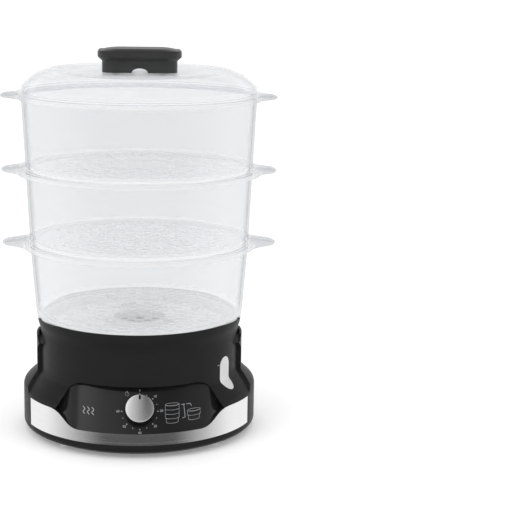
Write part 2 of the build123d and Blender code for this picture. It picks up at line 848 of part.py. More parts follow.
with BuildPart() as rubber_feet:
    with BuildSketch(Plane.XY):
        with PolarLocations(foot_circle, foot_count, start_angle=0):
            Circle(foot_pad_radius)
    extrude(amount=cover_bottom)
    with BuildSketch(Plane.XY):
        with PolarLocations(foot_circle, foot_count, start_angle=0):
            Circle(foot_stem_radius)
    extrude(amount=base_bottom + foot_stem_rise)
save(rubber_feet.part, "rubber_feet")

with BuildPart() as cover_screws:
    with BuildSketch(Plane.XY.offset(cover_bottom - cover_screw_head_height)):
        with PolarLocations(cover_screw_circle, cover_screw_count, start_angle=45):
            Circle(cover_screw_head_radius)
    extrude(amount=cover_screw_head_height)
    with BuildSketch(Plane.XY.offset(cover_bottom)):
        with PolarLocations(cover_screw_circle, cover_screw_count, start_angle=45):
            Circle(cover_screw_radius)
    extrude(amount=cover_thickness + cover_screw_length - screw_tip_gap)
save(cover_screws.part, "cover_screws")

# ================================================================ cord inlet, terminal block and leads
inlet_seat = base_radius - inlet_seat_depth
inlet_inner = (base_radius - housing_wall) * cos(asin(inlet_flange_radius / (base_radius - housing_wall)))
with BuildPart() as cord_inlet:
    with BuildSketch(outward_plane(180, inlet_inner - inlet_flange_thickness, inlet_height)):
        Circle(inlet_flange_radius)
    extrude(amount=inlet_flange_thickness)
    with BuildSketch(outward_plane(180, inlet_inner - inlet_flange_thickness, inlet_height)):
        Circle(inlet_hole_radius)
    extrude(amount=inlet_seat - inlet_inner + 2 * inlet_flange_thickness)
    with BuildSketch(outward_plane(180, inlet_seat, inlet_height)):
        Circle(inlet_flange_radius)
    extrude(amount=inlet_flange_thickness)
    with BuildSketch(outward_plane(180, tank_well_radius, inlet_height)):
        Circle(inlet_bore_radius)
    extrude(amount=2 * beyond, mode=Mode.SUBTRACT)
save(cord_inlet.part, "cord_inlet")

with BuildPart() as terminal_block:
    with BuildSketch(Plane.XY.offset(base_bottom)):
        with Locations(block_place):
            Rectangle(block_width, block_depth)
    extrude(amount=block_height)
    with BuildSketch(Plane.XY.offset(base_bottom + block_height)):
        with Locations(block_place):
            with GridLocations(block_width / 3, 0, 3, 1):
                Circle(block_screw_radius)
    extrude(amount=-block_height / 2, mode=Mode.SUBTRACT)
save(terminal_block.part, "terminal_block")

block_front = block_place[1] - block_depth / 2
lead_height = base_bottom + block_height / 3


def lead(route, radii):
    """A round lead along straight runs joined by arcs."""
    with BuildPart() as run:
        with BuildLine() as path:
            FilletPolyline(*route, radius=radii)
        with BuildSketch(Plane(origin=path.line @ 0, z_dir=path.line % 0)):
            Circle(lead_radius)
        sweep()
    return run.part


def run_radii(route):
    """Arc radii that use most of the shorter run beside each inner point of the route."""
    points = [Vector(*point) for point in route]
    radii = []
    for first, middle, last in zip(points, points[1:], points[2:]):
        half_turn = radians((middle - first).get_angle(last - middle)) / 2
        radii.append(0.45 * min((middle - first).length, (last - middle).length) / tan(half_turn))
    return radii


def at_timer(sideways, along):
    """Point behind the back face of the timer's case."""
    return tuple(dial_plane.from_local_coords(Vector(sideways, -timer_height / 4, timer_back - along)))


terminals = [block_place[0] + side * block_width / 3 for side in (-1, 0, 1)]
element_pin = (
    -element_radius * cos(radians(element_pin_start)),
    element_radius * sin(radians(element_pin_start)),
)
element_pin_foot = element_height - element_pin_length
thermostat_foot = thermostat_top - thermostat_height
thermostat_spot = (thermostat_radius / 2, 0)
lead_ends = [
    [(*thermostat_spot, lead_height), (*thermostat_spot, thermostat_foot)],
    [(*element_pin, lead_height), (*element_pin, element_pin_foot)],
    [at_timer(timer_width / 3, lead_run), at_timer(timer_width / 3, 0)],
]
with BuildPart() as internal_leads:
    for terminal, far_end in zip(terminals, lead_ends):
        route = [
            (terminal, block_front, lead_height),
            (terminal, block_front - block_run, lead_height),
            *far_end,
        ]
        add(lead(route, run_radii(route)))
save(internal_leads.part, "internal_leads")

# ================================================================ drip tray
tray_rim_bottom = tray_ledge + lift_gap
tray_rim_top = tray_rim_bottom + tray_thickness
tray_rim_radius = lip_inner - side_gap
tray_collar_radius = tray_rim_radius - tray_collar_inset
tray_grip_radius = lip_radius + tray_grip_stand
tray_wall_radius = tank_radius - tank_wall - side_gap
tray_floor_top = tray_floor + tray_thickness
chimney_top = tray_floor + tray_chimney_height
with BuildPart() as drip_tray:
    turn(
        [
            (tray_rim_radius, tray_rim_bottom),
            (tray_rim_radius, tray_rim_top),
            (tray_wall_radius - tray_thickness, tray_rim_top),
            (tray_wall_radius - tray_thickness, tray_floor_top),
            (tray_chimney_radius, tray_floor_top),
            (tray_chimney_radius, chimney_top),
            (tray_chimney_radius - tray_thickness, chimney_top),
            (tray_chimney_radius - tray_thickness, tray_floor),
            (tray_wall_radius, tray_floor),
            (tray_wall_radius, tray_rim_bottom),
        ]
    )
    with BuildSketch(Plane.XY.offset(tray_rim_top)):
        Circle(tray_collar_radius)
        Circle(tray_collar_radius - tray_collar_wall, mode=Mode.SUBTRACT)
    extrude(amount=tray_collar_height)
    with BuildSketch(Plane.XY.offset(tray_rim_top + tray_grip_rise)):
        Circle(tray_grip_radius)
        Rectangle(3 * tray_grip_radius, 2 * tray_grip_half_width, mode=Mode.INTERSECT)
        Circle(tray_collar_radius - tray_collar_wall, mode=Mode.SUBTRACT)
    extrude(amount=tray_grip_thickness)
save(drip_tray.part, "drip_tray")

# ================================================================ bowls
foot_radii = [lip_radius + bowl_foot_stand]
mouth_radii = []
for flare in bowl_flares:
    mouth_radii.append(foot_radii[-1] + flare)
    foot_radii.append(mouth_radii[-1] - bowl_foot_inset)
rim_radii = [mouth + width for mouth, width in zip(mouth_radii, bowl_rim_widths)]
ear_reach = max(rim_radii) + ear_length
ear_root = ear_reach - ear_root_depth


def rim_outline(radius, shrink):
    """Round rim drawn out into a rounded ear at each side, all of it shrunk inwards."""
    tip = ear_reach - ear_tip_round
    with BuildSketch(Plane.XY) as outline:
        Circle(radius)
        for side in (-1, 1):
            root = side * ear_root
            tip_arc = CenterArc((side * tip, 0), ear_tip_round, 0, 360, mode=Mode.PRIVATE)
            root_line = Line((root, -ear_root_half_width), (root, ear_root_half_width), mode=Mode.PRIVATE)
            make_hull([tip_arc.edge(), root_line.edge()])
        corners = outline.vertices().filter_by(lambda v: abs(Vector(v.X, v.Y).length - radius) < 0.01)
        fillet(corners, min(ear_root_round, (ear_reach - radius) / 2))
        if shrink > 0:
            offset(amount=-shrink, mode=Mode.REPLACE)
    return outline.sketch


def bowl(seat, foot_radius, mouth_radius, rim_radius, spigot_radius):
    """A bowl that stands at the height seat: pierced floor, sloping wall, turned rim and two ears."""
    top = seat + bowl_height
    with BuildPart() as shell:
        inner_foot_corner = (foot_radius - bowl_wall, seat + bowl_floor)
        turn(
            [
                (0, seat),
                (foot_radius, seat),
                (mouth_radius, top),
                (mouth_radius - bowl_wall, top),
                inner_foot_corner,
                (0, seat + bowl_floor),
            ],
            [(inner_foot_corner, bowl_floor_round)],
        )
        with BuildSketch(Plane.XY.offset(seat)):
            Circle(spigot_radius)
            Circle(spigot_radius - bowl_spigot_wall, mode=Mode.SUBTRACT)
        extrude(amount=-bowl_spigot_depth)
        with BuildSketch(Plane.XY.offset(top)):
            add(rim_outline(rim_radius, 0))
            Circle(mouth_radius - bowl_wall / 2, mode=Mode.SUBTRACT)
        extrude(amount=-rim_thickness)
        with BuildSketch(Plane.XY.offset(top - rim_thickness)):
            add(rim_outline(rim_radius, 0))
            add(rim_outline(rim_radius, rim_turn_down_wall), mode=Mode.SUBTRACT)
        extrude(amount=rim_thickness - rim_turn_down)
        with BuildSketch(Plane.XY.offset(seat)):
            for row in slot_rows:
                with PolarLocations(row, round(2 * pi * row / slot_pitch)):
                    SlotOverall(slot_length, slot_width, rotation=90)
            with PolarLocations(egg_hole_circle, egg_hole_count):
                Circle(egg_hole_radius)
        extrude(amount=bowl_floor, mode=Mode.SUBTRACT)
    return shell.part


first_seat = lip_top + lift_gap
stack_pitch = bowl_height + lift_gap
spigot_mouth = tray_collar_radius - tray_collar_wall
for number, (foot_radius, mouth_radius, rim_radius) in enumerate(zip(foot_radii, mouth_radii, rim_radii)):
    seat = first_seat + number * stack_pitch
    piece = bowl(seat, foot_radius, mouth_radius, rim_radius, spigot_mouth - side_gap)
    save(piece, f"bowl_{number + 1}")
    taper = (mouth_radius - foot_radius) / bowl_height
    spigot_mouth = mouth_radius - bowl_wall - taper * lid_spigot_depth

# ================================================================ lid
lid_seat = first_seat + 3 * stack_pitch
lid_wall_radius = mouth_radii[-1] - lid_wall_inset
lid_rim_radius = rim_radii[-1] - lid_rim_inset
lid_top = lid_seat + lid_dish[1]
lid_corners = [(0, 0), (0, lid_wall_height), lid_shoulder, lid_slope, lid_crest, lid_dish]
lid_outline = [(lid_wall_radius - inset, lid_seat + rise) for inset, rise in lid_corners]
lid_outline.append((0, lid_top))
screw_spots = [(side * lid_screw_spacing / 2, 0) for side in (-1, 1)]
lid_spigot_radius = spigot_mouth - side_gap
with BuildPart() as lid:
    turn([*lid_outline, *reversed(parallel(lid_outline, lid_wall))])
    with BuildSketch(Plane.XY.offset(lid_seat)):
        Circle(lid_rim_radius)
        Circle(lid_spigot_radius - lid_spigot_wall, mode=Mode.SUBTRACT)
    extrude(amount=lid_rim_thickness)
    with BuildSketch(Plane.XY.offset(lid_seat)):
        Circle(lid_spigot_radius)
        Circle(lid_spigot_radius - lid_spigot_wall, mode=Mode.SUBTRACT)
    extrude(amount=-lid_spigot_depth)
    with BuildSketch(Plane.XY.offset(lid_top - lid_wall)):
        with Locations(*screw_spots):
            Circle(lid_screw_radius)
    extrude(amount=lid_wall, mode=Mode.SUBTRACT)
save(lid.part, "lid")

cap_foot = lid_top + handle_neck_height
cap_width = handle_width + 2 * cap_overhang
cap_depth = handle_depth + 2 * cap_overhang
tiers = [
    (cap_foot, handle_width, handle_depth, handle_corner),
    (cap_foot + cap_chamfer_height, cap_width, cap_depth, handle_corner + cap_overhang),
    (cap_foot + cap_chamfer_height + cap_side_height, cap_width, cap_depth, handle_corner + cap_overhang),
    (
        cap_foot + cap_chamfer_height + cap_side_height + cap_crown_height,
        cap_width - 2 * cap_crown_inset,
        cap_depth - 2 * cap_crown_depth_inset,
        handle_corner,
    ),
]
with BuildPart() as lid_handle:
    with BuildSketch(Plane.XY.offset(lid_top)):
        RectangleRounded(handle_width, handle_depth, handle_corner)
    extrude(amount=handle_neck_height)
    for lower, upper in zip(tiers, tiers[1:]):
        for height, width, depth, corner in (lower, upper):
            with BuildSketch(Plane.XY.offset(height)):
                RectangleRounded(width, depth, corner)
        loft(ruled=True)
    with BuildSketch(Plane.XZ.offset(-handle_depth)):
        with Locations((0, lid_top)):
            Ellipse(notch_half_width, notch_height)
    extrude(amount=2 * handle_depth, mode=Mode.SUBTRACT)
    with BuildSketch(Plane.XY.offset(lid_top)):
        with Locations(*screw_spots):
            Circle(lid_screw_radius)
    extrude(amount=lid_screw_length, mode=Mode.SUBTRACT)
save(lid_handle.part, "lid_handle")

with BuildPart() as lid_screws:
    with BuildSketch(Plane.XY.offset(lid_top - lid_wall)):
        with Locations(*screw_spots):
            Circle(lid_screw_head_radius)
    extrude(amount=-lid_screw_head_height)
    with BuildSketch(Plane.XY.offset(lid_top - lid_wall)):
        with Locations(*screw_spots):
            Circle(lid_screw_radius)
    extrude(amount=lid_wall + lid_screw_length - screw_tip_gap)
save(lid_screws.part, "lid_screws")
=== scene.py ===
"""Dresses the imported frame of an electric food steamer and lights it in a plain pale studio.

The CAD frame gives every place and size. The clear bowls, the lid, its handle, the knob and the
printed marks are made here as numpy surfaces, and every other node keeps its own mesh and gets a
procedural finish. Sizes in the classes are millimetres, as on a drawing, with +Z up and the front
towards -Y; meshes are written in metres.
"""

import json
import logging
from dataclasses import dataclass, replace
from enum import Enum
from typing import Callable, Iterable, Optional, Protocol, Sequence

import bmesh
import bpy
import numpy as np
from mathutils import Matrix, Vector
from mathutils.geometry import delaunay_2d_cdt

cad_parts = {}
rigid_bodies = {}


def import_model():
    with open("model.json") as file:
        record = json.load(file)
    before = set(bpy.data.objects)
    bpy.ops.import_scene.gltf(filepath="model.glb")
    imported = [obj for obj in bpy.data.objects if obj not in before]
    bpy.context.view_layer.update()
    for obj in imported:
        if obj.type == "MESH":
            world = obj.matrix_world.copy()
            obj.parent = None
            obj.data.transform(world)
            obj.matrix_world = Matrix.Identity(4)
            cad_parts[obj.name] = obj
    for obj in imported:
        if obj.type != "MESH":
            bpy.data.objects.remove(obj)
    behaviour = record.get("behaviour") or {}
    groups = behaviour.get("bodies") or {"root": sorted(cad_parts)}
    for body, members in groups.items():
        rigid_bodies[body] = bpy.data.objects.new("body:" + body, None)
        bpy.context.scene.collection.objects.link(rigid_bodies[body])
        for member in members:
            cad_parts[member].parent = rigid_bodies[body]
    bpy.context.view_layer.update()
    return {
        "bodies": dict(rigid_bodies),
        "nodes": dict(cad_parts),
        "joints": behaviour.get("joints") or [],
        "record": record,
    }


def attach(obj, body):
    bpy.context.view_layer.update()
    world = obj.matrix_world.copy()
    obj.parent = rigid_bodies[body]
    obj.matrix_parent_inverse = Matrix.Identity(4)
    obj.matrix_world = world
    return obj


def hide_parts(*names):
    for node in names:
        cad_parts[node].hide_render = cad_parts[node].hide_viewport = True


LOG = logging.getLogger("steamer")
MM = 0.001
WHITE = (1.0, 1.0, 1.0, 1.0)
CLOUD_RANGE = (0.3, 0.7)
UPRIGHT_LIMIT = 0.3
DIGIT_SHARE = 0.7
Color = tuple[float, float, float]
Array = np.ndarray
Socket = bpy.types.NodeSocket
Material = bpy.types.Material
Piece = bpy.types.Object


class Slot(Enum):
    """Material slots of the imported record."""

    BLACK_HOUSING = "black_housing"
    BLACK_COVER = "black_cover"
    GLOSS_BLACK = "gloss_black"
    BLACK_GROMMET = "black_grommet"
    PLATED_STEEL = "plated_steel"
    BRIGHT_BAND = "bright_band"
    STAINLESS = "stainless"
    SEAL_RUBBER = "seal_rubber"
    ELEMENT_ALLOY = "element_alloy"
    LEAD_INSULATION = "lead_insulation"
    FOOT_RUBBER = "foot_rubber"
    WHITE_INSULATOR = "white_insulator"
    FUSE_SLEEVE = "fuse_sleeve"
    THERMOSTAT_BODY = "thermostat_body"
    TIMER_PLASTIC = "timer_plastic"
    TANK_PLASTIC = "tank_plastic"
    WINDOW_PLASTIC = "window_plastic"
    KNOB_BLACK = "knob_black"
    KNOB_SILVER = "knob_silver"
    BRASS_SHAFT = "brass_shaft"
    DIFFUSER_PLASTIC = "diffuser_plastic"
    TRAY_PLASTIC = "tray_plastic"
    CLEAR_BOWL = "clear_bowl"
    HANDLE_BLACK = "handle_black"


class Grain(Enum):
    """Scale of the noise along each axis that draws a metal's scratches out."""

    LEVEL = (4.0, 4.0, 900.0)
    EVEN = (300.0, 300.0, 300.0)


# ---------------------------------------------------------------------------- materials


class NodeGraph:
    """Node tree of a material or a world, with short calls that add and join its nodes."""

    def __init__(self, owner: bpy.types.ID) -> None:
        """Empties the tree of the material or world."""
        owner.use_nodes = True
        self.tree = owner.node_tree
        self.tree.nodes.clear()

    def add(self, kind: str, settings: Optional[dict] = None, **inputs: object) -> bpy.types.Node:
        """Adds a node.

        Args:
            kind: Blender's name of the node type.
            settings: Properties of the node itself.
            **inputs: A value or an output socket for each input, with _ for a space in its name.

        Returns:
            The new node.
        """
        node = self.tree.nodes.new(kind)
        for key, value in (settings or {}).items():
            setattr(node, key, value)
        self.feed([node.inputs[key.replace("_", " ")] for key in inputs], inputs.values())
        return node

    def maths(self, operation: str, *values: object) -> Socket:
        """Result of a Math node on sockets or plain numbers."""
        node = self.add("ShaderNodeMath", {"operation": operation})
        self.feed(node.inputs, values)
        return node.outputs["Value"]

    def ramp(self, value: Socket, start: float, end: float, kind: str = "LINEAR") -> Socket:
        """Share that rises from 0 to 1 as value goes from start to end."""
        settings = {"interpolation_type": kind}
        node = self.add("ShaderNodeMapRange", settings, Value=value, From_Min=start, From_Max=end)
        return node.outputs["Result"]

    def smooth(self, value: Socket, start: float, end: float) -> Socket:
        """Share that rises in a smooth step."""
        return self.ramp(value, start, end, "SMOOTHSTEP")

    def mix(self, share: object, first: Socket, second: Socket) -> Socket:
        """Shader that goes from the first to the second as share goes from 0 to 1."""
        node = self.add("ShaderNodeMixShader")
        self.feed(node.inputs, (share, first, second))
        return node.outputs["Shader"]

    def feed(self, inputs: Iterable[Socket], values: Iterable[object]) -> None:
        """Joins each input to its output socket, or sets it to its plain value."""
        for socket, value in zip(inputs, values):
            if isinstance(value, Socket):
                self.tree.links.new(value, socket)
            else:
                socket.default_value = value


class Shader(NodeGraph):
    """Material of one finish."""

    def __init__(self, name: str) -> None:
        """Starts a material of that name with its output node and Object coordinates."""
        self.material = bpy.data.materials.new(name)
        super().__init__(self.material)
        self.output = self.add("ShaderNodeOutputMaterial")
        self.place = self.add("ShaderNodeTexCoord").outputs["Object"]

    def noise(
        self,
        size: float = 1.0,
        detail: float = 3.0,
        stretch: Optional[Color] = None,
        where: Optional[Socket] = None,
    ) -> Socket:
        """Cloudy noise.

        Args:
            size: Width of one cloud in millimetres, where no stretch is given.
            detail: Octaves of finer noise.
            stretch: Scale along each axis, for noise drawn out into streaks.
            where: Coordinates, if not the Object ones.

        Returns:
            The noise's value socket, mostly within CLOUD_RANGE.
        """
        where = where or self.place
        if stretch is not None:
            where = self.add("ShaderNodeMapping", Vector=where, Scale=stretch).outputs["Vector"]
        scale = 1.0 if stretch is not None else 1.0 / (size * MM)
        return self.add("ShaderNodeTexNoise", Vector=where, Scale=scale, Detail=detail).outputs["Fac"]

    def between(self, value: Socket, low: float, high: float) -> Socket:
        """Maps a noise from CLOUD_RANGE onto low to high."""
        node = self.add("ShaderNodeMapRange")
        self.feed(node.inputs, (value, *CLOUD_RANGE, low, high))
        return node.outputs["Result"]

    def about(self, value: Socket, middle: float, spread: float) -> Socket:
        """Maps a noise from CLOUD_RANGE onto spread to either side of middle."""
        return self.between(value, middle - spread, middle + spread)

    def tone(self, value: Socket, color: Color, spread: float) -> Socket:
        """The colour made up to spread darker where value is low and lighter where it is high."""
        dark = [c * (1 - spread) for c in color]
        light = [min(1.0, c * (1 + spread)) for c in color]
        return self.mix_colors(self.between(value, 0.0, 1.0), dark, light)

    def mix_colors(self, share: Socket, first: Sequence[float], second: Sequence[float]) -> Socket:
        """Colour that goes from the first to the second as share goes from 0 to 1."""
        mix = self.add("ShaderNodeMix", {"data_type": "RGBA"})
        self.feed((mix.inputs[0], *mix.inputs[6:8]), (share, (*first, 1.0), (*second, 1.0)))
        return mix.outputs[2]

    def bump(self, height: Socket, strength: float, depth: float) -> Socket:
        """Normal of a surface raised by height times depth millimetres."""
        node = self.add("ShaderNodeBump", Height=height, Strength=strength, Distance=depth * MM)
        return node.outputs["Normal"]

    def finish(self, surface: Socket) -> Material:
        """Joins the surface shader to the output and returns the material."""
        self.tree.links.new(surface, self.output.inputs["Surface"])
        return self.material


class Finish(Protocol):
    """Anything that can make its own material."""

    name: str

    def build(self) -> Material:
        """Makes the material."""


@dataclass(frozen=True)
class MouldedPlastic:
    """Moulded plastic: an even colour, fine spark-eroded grain and faintly uneven gloss."""

    name: str
    color: Color
    roughness: float = 0.4
    grain_size: float = 0.5
    grain_depth: float = 0.02
    mottle: float = 0.05
    specular: float = 0.5
    tone_size: float = 24.0
    gloss_size: float = 7.0
    gloss_spread: float = 0.04

    def build(self) -> Material:
        """Principled plastic whose tone, roughness and grain come from three sizes of noise."""
        shader = Shader(self.name)
        body = shader.add(
            "ShaderNodeBsdfPrincipled",
            Base_Color=shader.tone(shader.noise(self.tone_size), self.color, self.mottle),
            Roughness=shader.about(shader.noise(self.gloss_size), self.roughness, self.gloss_spread),
            Normal=shader.bump(shader.noise(self.grain_size, 2.0), 0.5, self.grain_depth),
            Specular_IOR_Level=self.specular,
        )
        return shader.finish(body.outputs["BSDF"])


@dataclass(frozen=True)
class Metal:
    """Sheet or turned metal with fine scratches along its grain."""

    name: str
    color: Color
    roughness: float = 0.25
    grain: Grain = Grain.EVEN
    scratch_depth: float = 0.01
    mottle: float = 0.06
    tone_size: float = 15.0
    gloss_spread: float = 0.05

    def build(self) -> Material:
        """Metallic surface whose scratches are noise drawn out along the grain."""
        shader = Shader(self.name)
        scratches = shader.noise(detail=4.0, stretch=self.grain.value)
        body = shader.add(
            "ShaderNodeBsdfPrincipled",
            Base_Color=shader.tone(shader.noise(self.tone_size), self.color, self.mottle),
            Metallic=1.0,
            Roughness=shader.about(scratches, self.roughness, self.gloss_spread),
            Normal=shader.bump(scratches, 0.35, self.scratch_depth),
        )
        return shader.finish(body.outputs["BSDF"])


@dataclass(frozen=True)
class SpunMetal:
    """Silver disc with turned rings; its own UV map runs round the disc and outwards."""

    name: str
    color: Color
    roughness: float = 0.24
    anisotropy: float = 0.45
    ring_count: float = 60.0
    mottle: float = 0.02
    gloss_spread: float = 0.02
    roll: float = 1.7

    def build(self) -> Material:
        """Metallic surface stretched round the disc, with rings from noise across the radius.

        The face is slightly rolled: the bump's height falls with the square of the distance sideways,
        which is the radius times the cosine of the angle round the disc.
        """
        shader = Shader(self.name)
        around = shader.add("ShaderNodeUVMap", {"uv_map": "Turned"}).outputs["UV"]
        rings = shader.noise(stretch=(2.0, self.ring_count, 1.0), where=around)
        place = shader.add("ShaderNodeSeparateXYZ", Vector=around).outputs
        turn = shader.maths("MULTIPLY", place["X"], 2 * np.pi)
        sideways = shader.maths("MULTIPLY", place["Y"], shader.maths("COSINE", turn))
        rolled = shader.maths("MULTIPLY", shader.maths("MULTIPLY", sideways, sideways), -1.0)
        tangent = shader.add("ShaderNodeTangent", {"direction_type": "UV_MAP", "uv_map": "Turned"})
        body = shader.add(
            "ShaderNodeBsdfPrincipled",
            Base_Color=shader.tone(rings, self.color, self.mottle),
            Metallic=1.0,
            Normal=shader.bump(rolled, 1.0, self.roll),
            Roughness=shader.about(rings, self.roughness, self.gloss_spread),
            Anisotropic=self.anisotropy,
            Tangent=tangent.outputs["Tangent"],
        )
        return shader.finish(body.outputs["BSDF"])


@dataclass(frozen=True)
class ClearPlastic:
    """Clear plastic wall: seen straight through, a little milky, darker edge-on and glossy.

    Body is the milk's own colour, tint and edge_tint what light takes on seen face-on and edge-on, veil
    and edge_veil the milk's share there, and shine and grazing the share of the gloss.
    """

    name: str
    body: Color
    tint: Color
    edge_tint: Color
    veil: float = 0.05
    edge_veil: float = 0.3
    shine: float = 0.04
    grazing: float = 0.3
    steep: tuple[float, float] = (0.68, 0.95)
    wave: float = 0.02
    wave_size: float = 30.0
    roughness: float = 0.05
    milk_roughness: float = 0.35
    milk_specular: float = 0.1
    gloss_color: Color = (0.97, 0.975, 0.98)

    def build(self) -> Material:
        """Milky plastic and a tinted opening are mixed by how edge-on the wall is, under a gloss.

        The gloss adds the grazing share to its shine with the fifth power of how edge-on the wall is, and
        the veil and the darker tint come in over the steep range of the same.
        Light passes through the wall unchanged on its way to what stands behind it.
        """
        shader = Shader(self.name)
        facing = shader.add("ShaderNodeLayerWeight", Blend=0.5).outputs["Facing"]
        waves = shader.noise(self.wave_size, 1.0)
        slope = shader.bump(waves, 0.2, self.wave)
        steep = shader.smooth(facing, *self.steep)
        tints = shader.mix_colors(steep, self.tint, self.edge_tint)
        through = shader.add("ShaderNodeBsdfTransparent", Color=tints)
        body = shader.add(
            "ShaderNodeBsdfPrincipled",
            Base_Color=shader.tone(waves, self.body, 0.01),
            Roughness=shader.about(shader.noise(12.0), self.milk_roughness, 0.05),
            Normal=slope,
            Specular_IOR_Level=self.milk_specular,
        )
        share = shader.maths("MULTIPLY_ADD", steep, self.edge_veil - self.veil, self.veil)
        wall = shader.mix(share, through.outputs["BSDF"], body.outputs["BSDF"])
        gloss = shader.add(
            "ShaderNodeBsdfPrincipled",
            Base_Color=(*self.gloss_color, 1.0),
            Metallic=1.0,
            Roughness=self.roughness,
            Normal=slope,
        )
        edge_on = shader.maths("POWER", facing, 5.0)
        mirrored = shader.maths("MULTIPLY_ADD", edge_on, self.grazing, self.shine)
        seen = shader.mix(mirrored, wall, gloss.outputs["BSDF"])
        path = shader.add("ShaderNodeLightPath").outputs
        lighting = shader.maths("MAXIMUM", path["Is Shadow Ray"], path["Is Diffuse Ray"])
        clear = shader.add("ShaderNodeBsdfTransparent", Color=WHITE)
        return shader.finish(shader.mix(lighting, seen, clear.outputs["BSDF"]))


FINISHES: dict[Slot, Finish] = {
    Slot.BLACK_HOUSING: MouldedPlastic(
        "housing_plastic", (0.02, 0.02, 0.021), 0.4, 0.6, 0.02, mottle=0.03, specular=0.06
    ),
    Slot.BLACK_COVER: MouldedPlastic("cover_plastic", (0.02, 0.02, 0.021), 0.5, 0.8, 0.05),
    Slot.GLOSS_BLACK: MouldedPlastic(
        "panel_plastic", (0.0155, 0.0155, 0.0165), 0.08, 2.0, 0.002, mottle=0.03
    ),
    Slot.BLACK_GROMMET: MouldedPlastic("grommet_rubber", (0.02, 0.02, 0.02), 0.6, 0.5, 0.04),
    Slot.PLATED_STEEL: Metal("plated_steel", (0.62, 0.61, 0.58), 0.32),
    Slot.BRIGHT_BAND: Metal("brushed_band", (0.87, 0.87, 0.87), 0.24, Grain.LEVEL, 0.004, 0.01),
    Slot.STAINLESS: Metal("stainless_sheet", (0.66, 0.66, 0.65), 0.24, Grain.LEVEL),
    Slot.SEAL_RUBBER: MouldedPlastic("seal_silicone", (0.42, 0.1, 0.06), 0.55, 0.6, 0.03),
    Slot.ELEMENT_ALLOY: Metal("element_alloy", (0.45, 0.43, 0.41), 0.5),
    Slot.LEAD_INSULATION: MouldedPlastic("lead_silicone", (0.72, 0.7, 0.64), 0.5, 0.8, 0.03),
    Slot.FOOT_RUBBER: MouldedPlastic("foot_rubber", (0.03, 0.03, 0.03), 0.7, 0.7, 0.06),
    Slot.WHITE_INSULATOR: MouldedPlastic("insulator_plastic", (0.8, 0.79, 0.75), 0.4, 1.0, 0.02),
    Slot.FUSE_SLEEVE: MouldedPlastic("sleeve_glassfibre", (0.82, 0.8, 0.72), 0.7, 0.5, 0.08),
    Slot.THERMOSTAT_BODY: MouldedPlastic("thermostat_resin", (0.09, 0.05, 0.035), 0.45, 0.6, 0.03),
    Slot.TIMER_PLASTIC: MouldedPlastic("timer_nylon", (0.66, 0.65, 0.6), 0.45, 0.8, 0.03),
    Slot.TANK_PLASTIC: MouldedPlastic("tank_plastic", (0.05, 0.05, 0.052), 0.35, 0.8, 0.02),
    Slot.WINDOW_PLASTIC: MouldedPlastic("window_plastic", (0.7, 0.7, 0.7), 0.2, 2.0, 0.01),
    Slot.KNOB_BLACK: MouldedPlastic(
        "knob_plastic", (0.005, 0.005, 0.0055), 0.3, 0.5, 0.01, specular=0.15
    ),
    Slot.KNOB_SILVER: SpunMetal("knob_disc", (0.95, 0.95, 0.955)),
    Slot.BRASS_SHAFT: Metal("brass", (0.72, 0.52, 0.25), 0.3),
    Slot.DIFFUSER_PLASTIC: MouldedPlastic("diffuser_plastic", (0.95, 0.953, 0.956), 0.4, 0.8, 0.03),
    Slot.TRAY_PLASTIC: MouldedPlastic("tray_plastic", (0.79, 0.795, 0.8), 0.35, 0.8, 0.02),
    Slot.CLEAR_BOWL: ClearPlastic(
        "clear_plastic", (0.8, 0.81, 0.82), (0.948, 0.952, 0.958), (0.74, 0.75, 0.765), wave=0.015
    ),
    Slot.HANDLE_BLACK: MouldedPlastic("handle_plastic", (0.021, 0.021, 0.022), 0.4, 0.5, 0.02),
}
PIERCED_FLOOR = ClearPlastic(
    "clear_floor", (1.0, 1.0, 1.0), (0.992, 0.994, 0.996), (0.975, 0.978, 0.984), 0.04, 0.3, steep=(0.5, 0.85)
)
SLOT_EDGE = ClearPlastic(
    "clear_slot_edge", (0.95, 0.955, 0.96), (0.99, 0.992, 0.995), (0.95, 0.953, 0.96), 0.5, 0.5
)
FLOOR_CORNER = replace(SLOT_EDGE, name="clear_corner", body=(1.0, 1.0, 1.0), veil=0.4)
THICK_RIM = ClearPlastic(
    "clear_rim", (0.96, 0.965, 0.97), (0.97, 0.973, 0.978), (0.78, 0.785, 0.8), 0.4, 0.15, steep=(0.5, 0.85)
)
EAR = ClearPlastic(
    "clear_ear",
    (0.68, 0.685, 0.7),
    (0.88, 0.885, 0.895),
    (0.8, 0.805, 0.82),
    veil=0.4,
    edge_veil=0.4,
    shine=0.02,
    grazing=0.15,
    steep=(0.5, 0.85),
)
CLEAR_LID = ClearPlastic(
    "clear_lid_plastic",
    (0.95, 0.955, 0.96),
    (0.965, 0.969, 0.975),
    (0.84, 0.845, 0.86),
    veil=0.06,
    edge_veil=0.35,
    wave=0.008,
)
PRINT = MouldedPlastic("print_ink", (0.46, 0.47, 0.48), 0.5, 0.4, 0.005)


class Wardrobe:
    """Makes each finish once and dresses nodes and pieces in it."""

    def __init__(self) -> None:
        """Starts with no material made."""
        self.made: dict[str, Material] = {}

    def material(self, finish: Finish) -> Material:
        """The finish's material, made on its first use."""
        if finish.name not in self.made:
            self.made[finish.name] = finish.build()
        return self.made[finish.name]

    def dress_node(self, frame: dict, node: str, slot: Slot) -> None:
        """Gives a CAD node the finish of its slot."""
        materials = frame["nodes"][node].data.materials
        materials.clear()
        materials.append(self.material(FINISHES[slot]))
        LOG.info("%s keeps its mesh, finish %s", node, slot.value)

    def dress(self, piece: Piece, slot: Slot, finish: Optional[Finish] = None) -> None:
        """Gives a new piece its slot, and the slot's finish unless another is named."""
        piece.data.materials.append(self.material(finish or FINISHES[slot]))


# ---------------------------------------------------------------------------- numpy surfaces


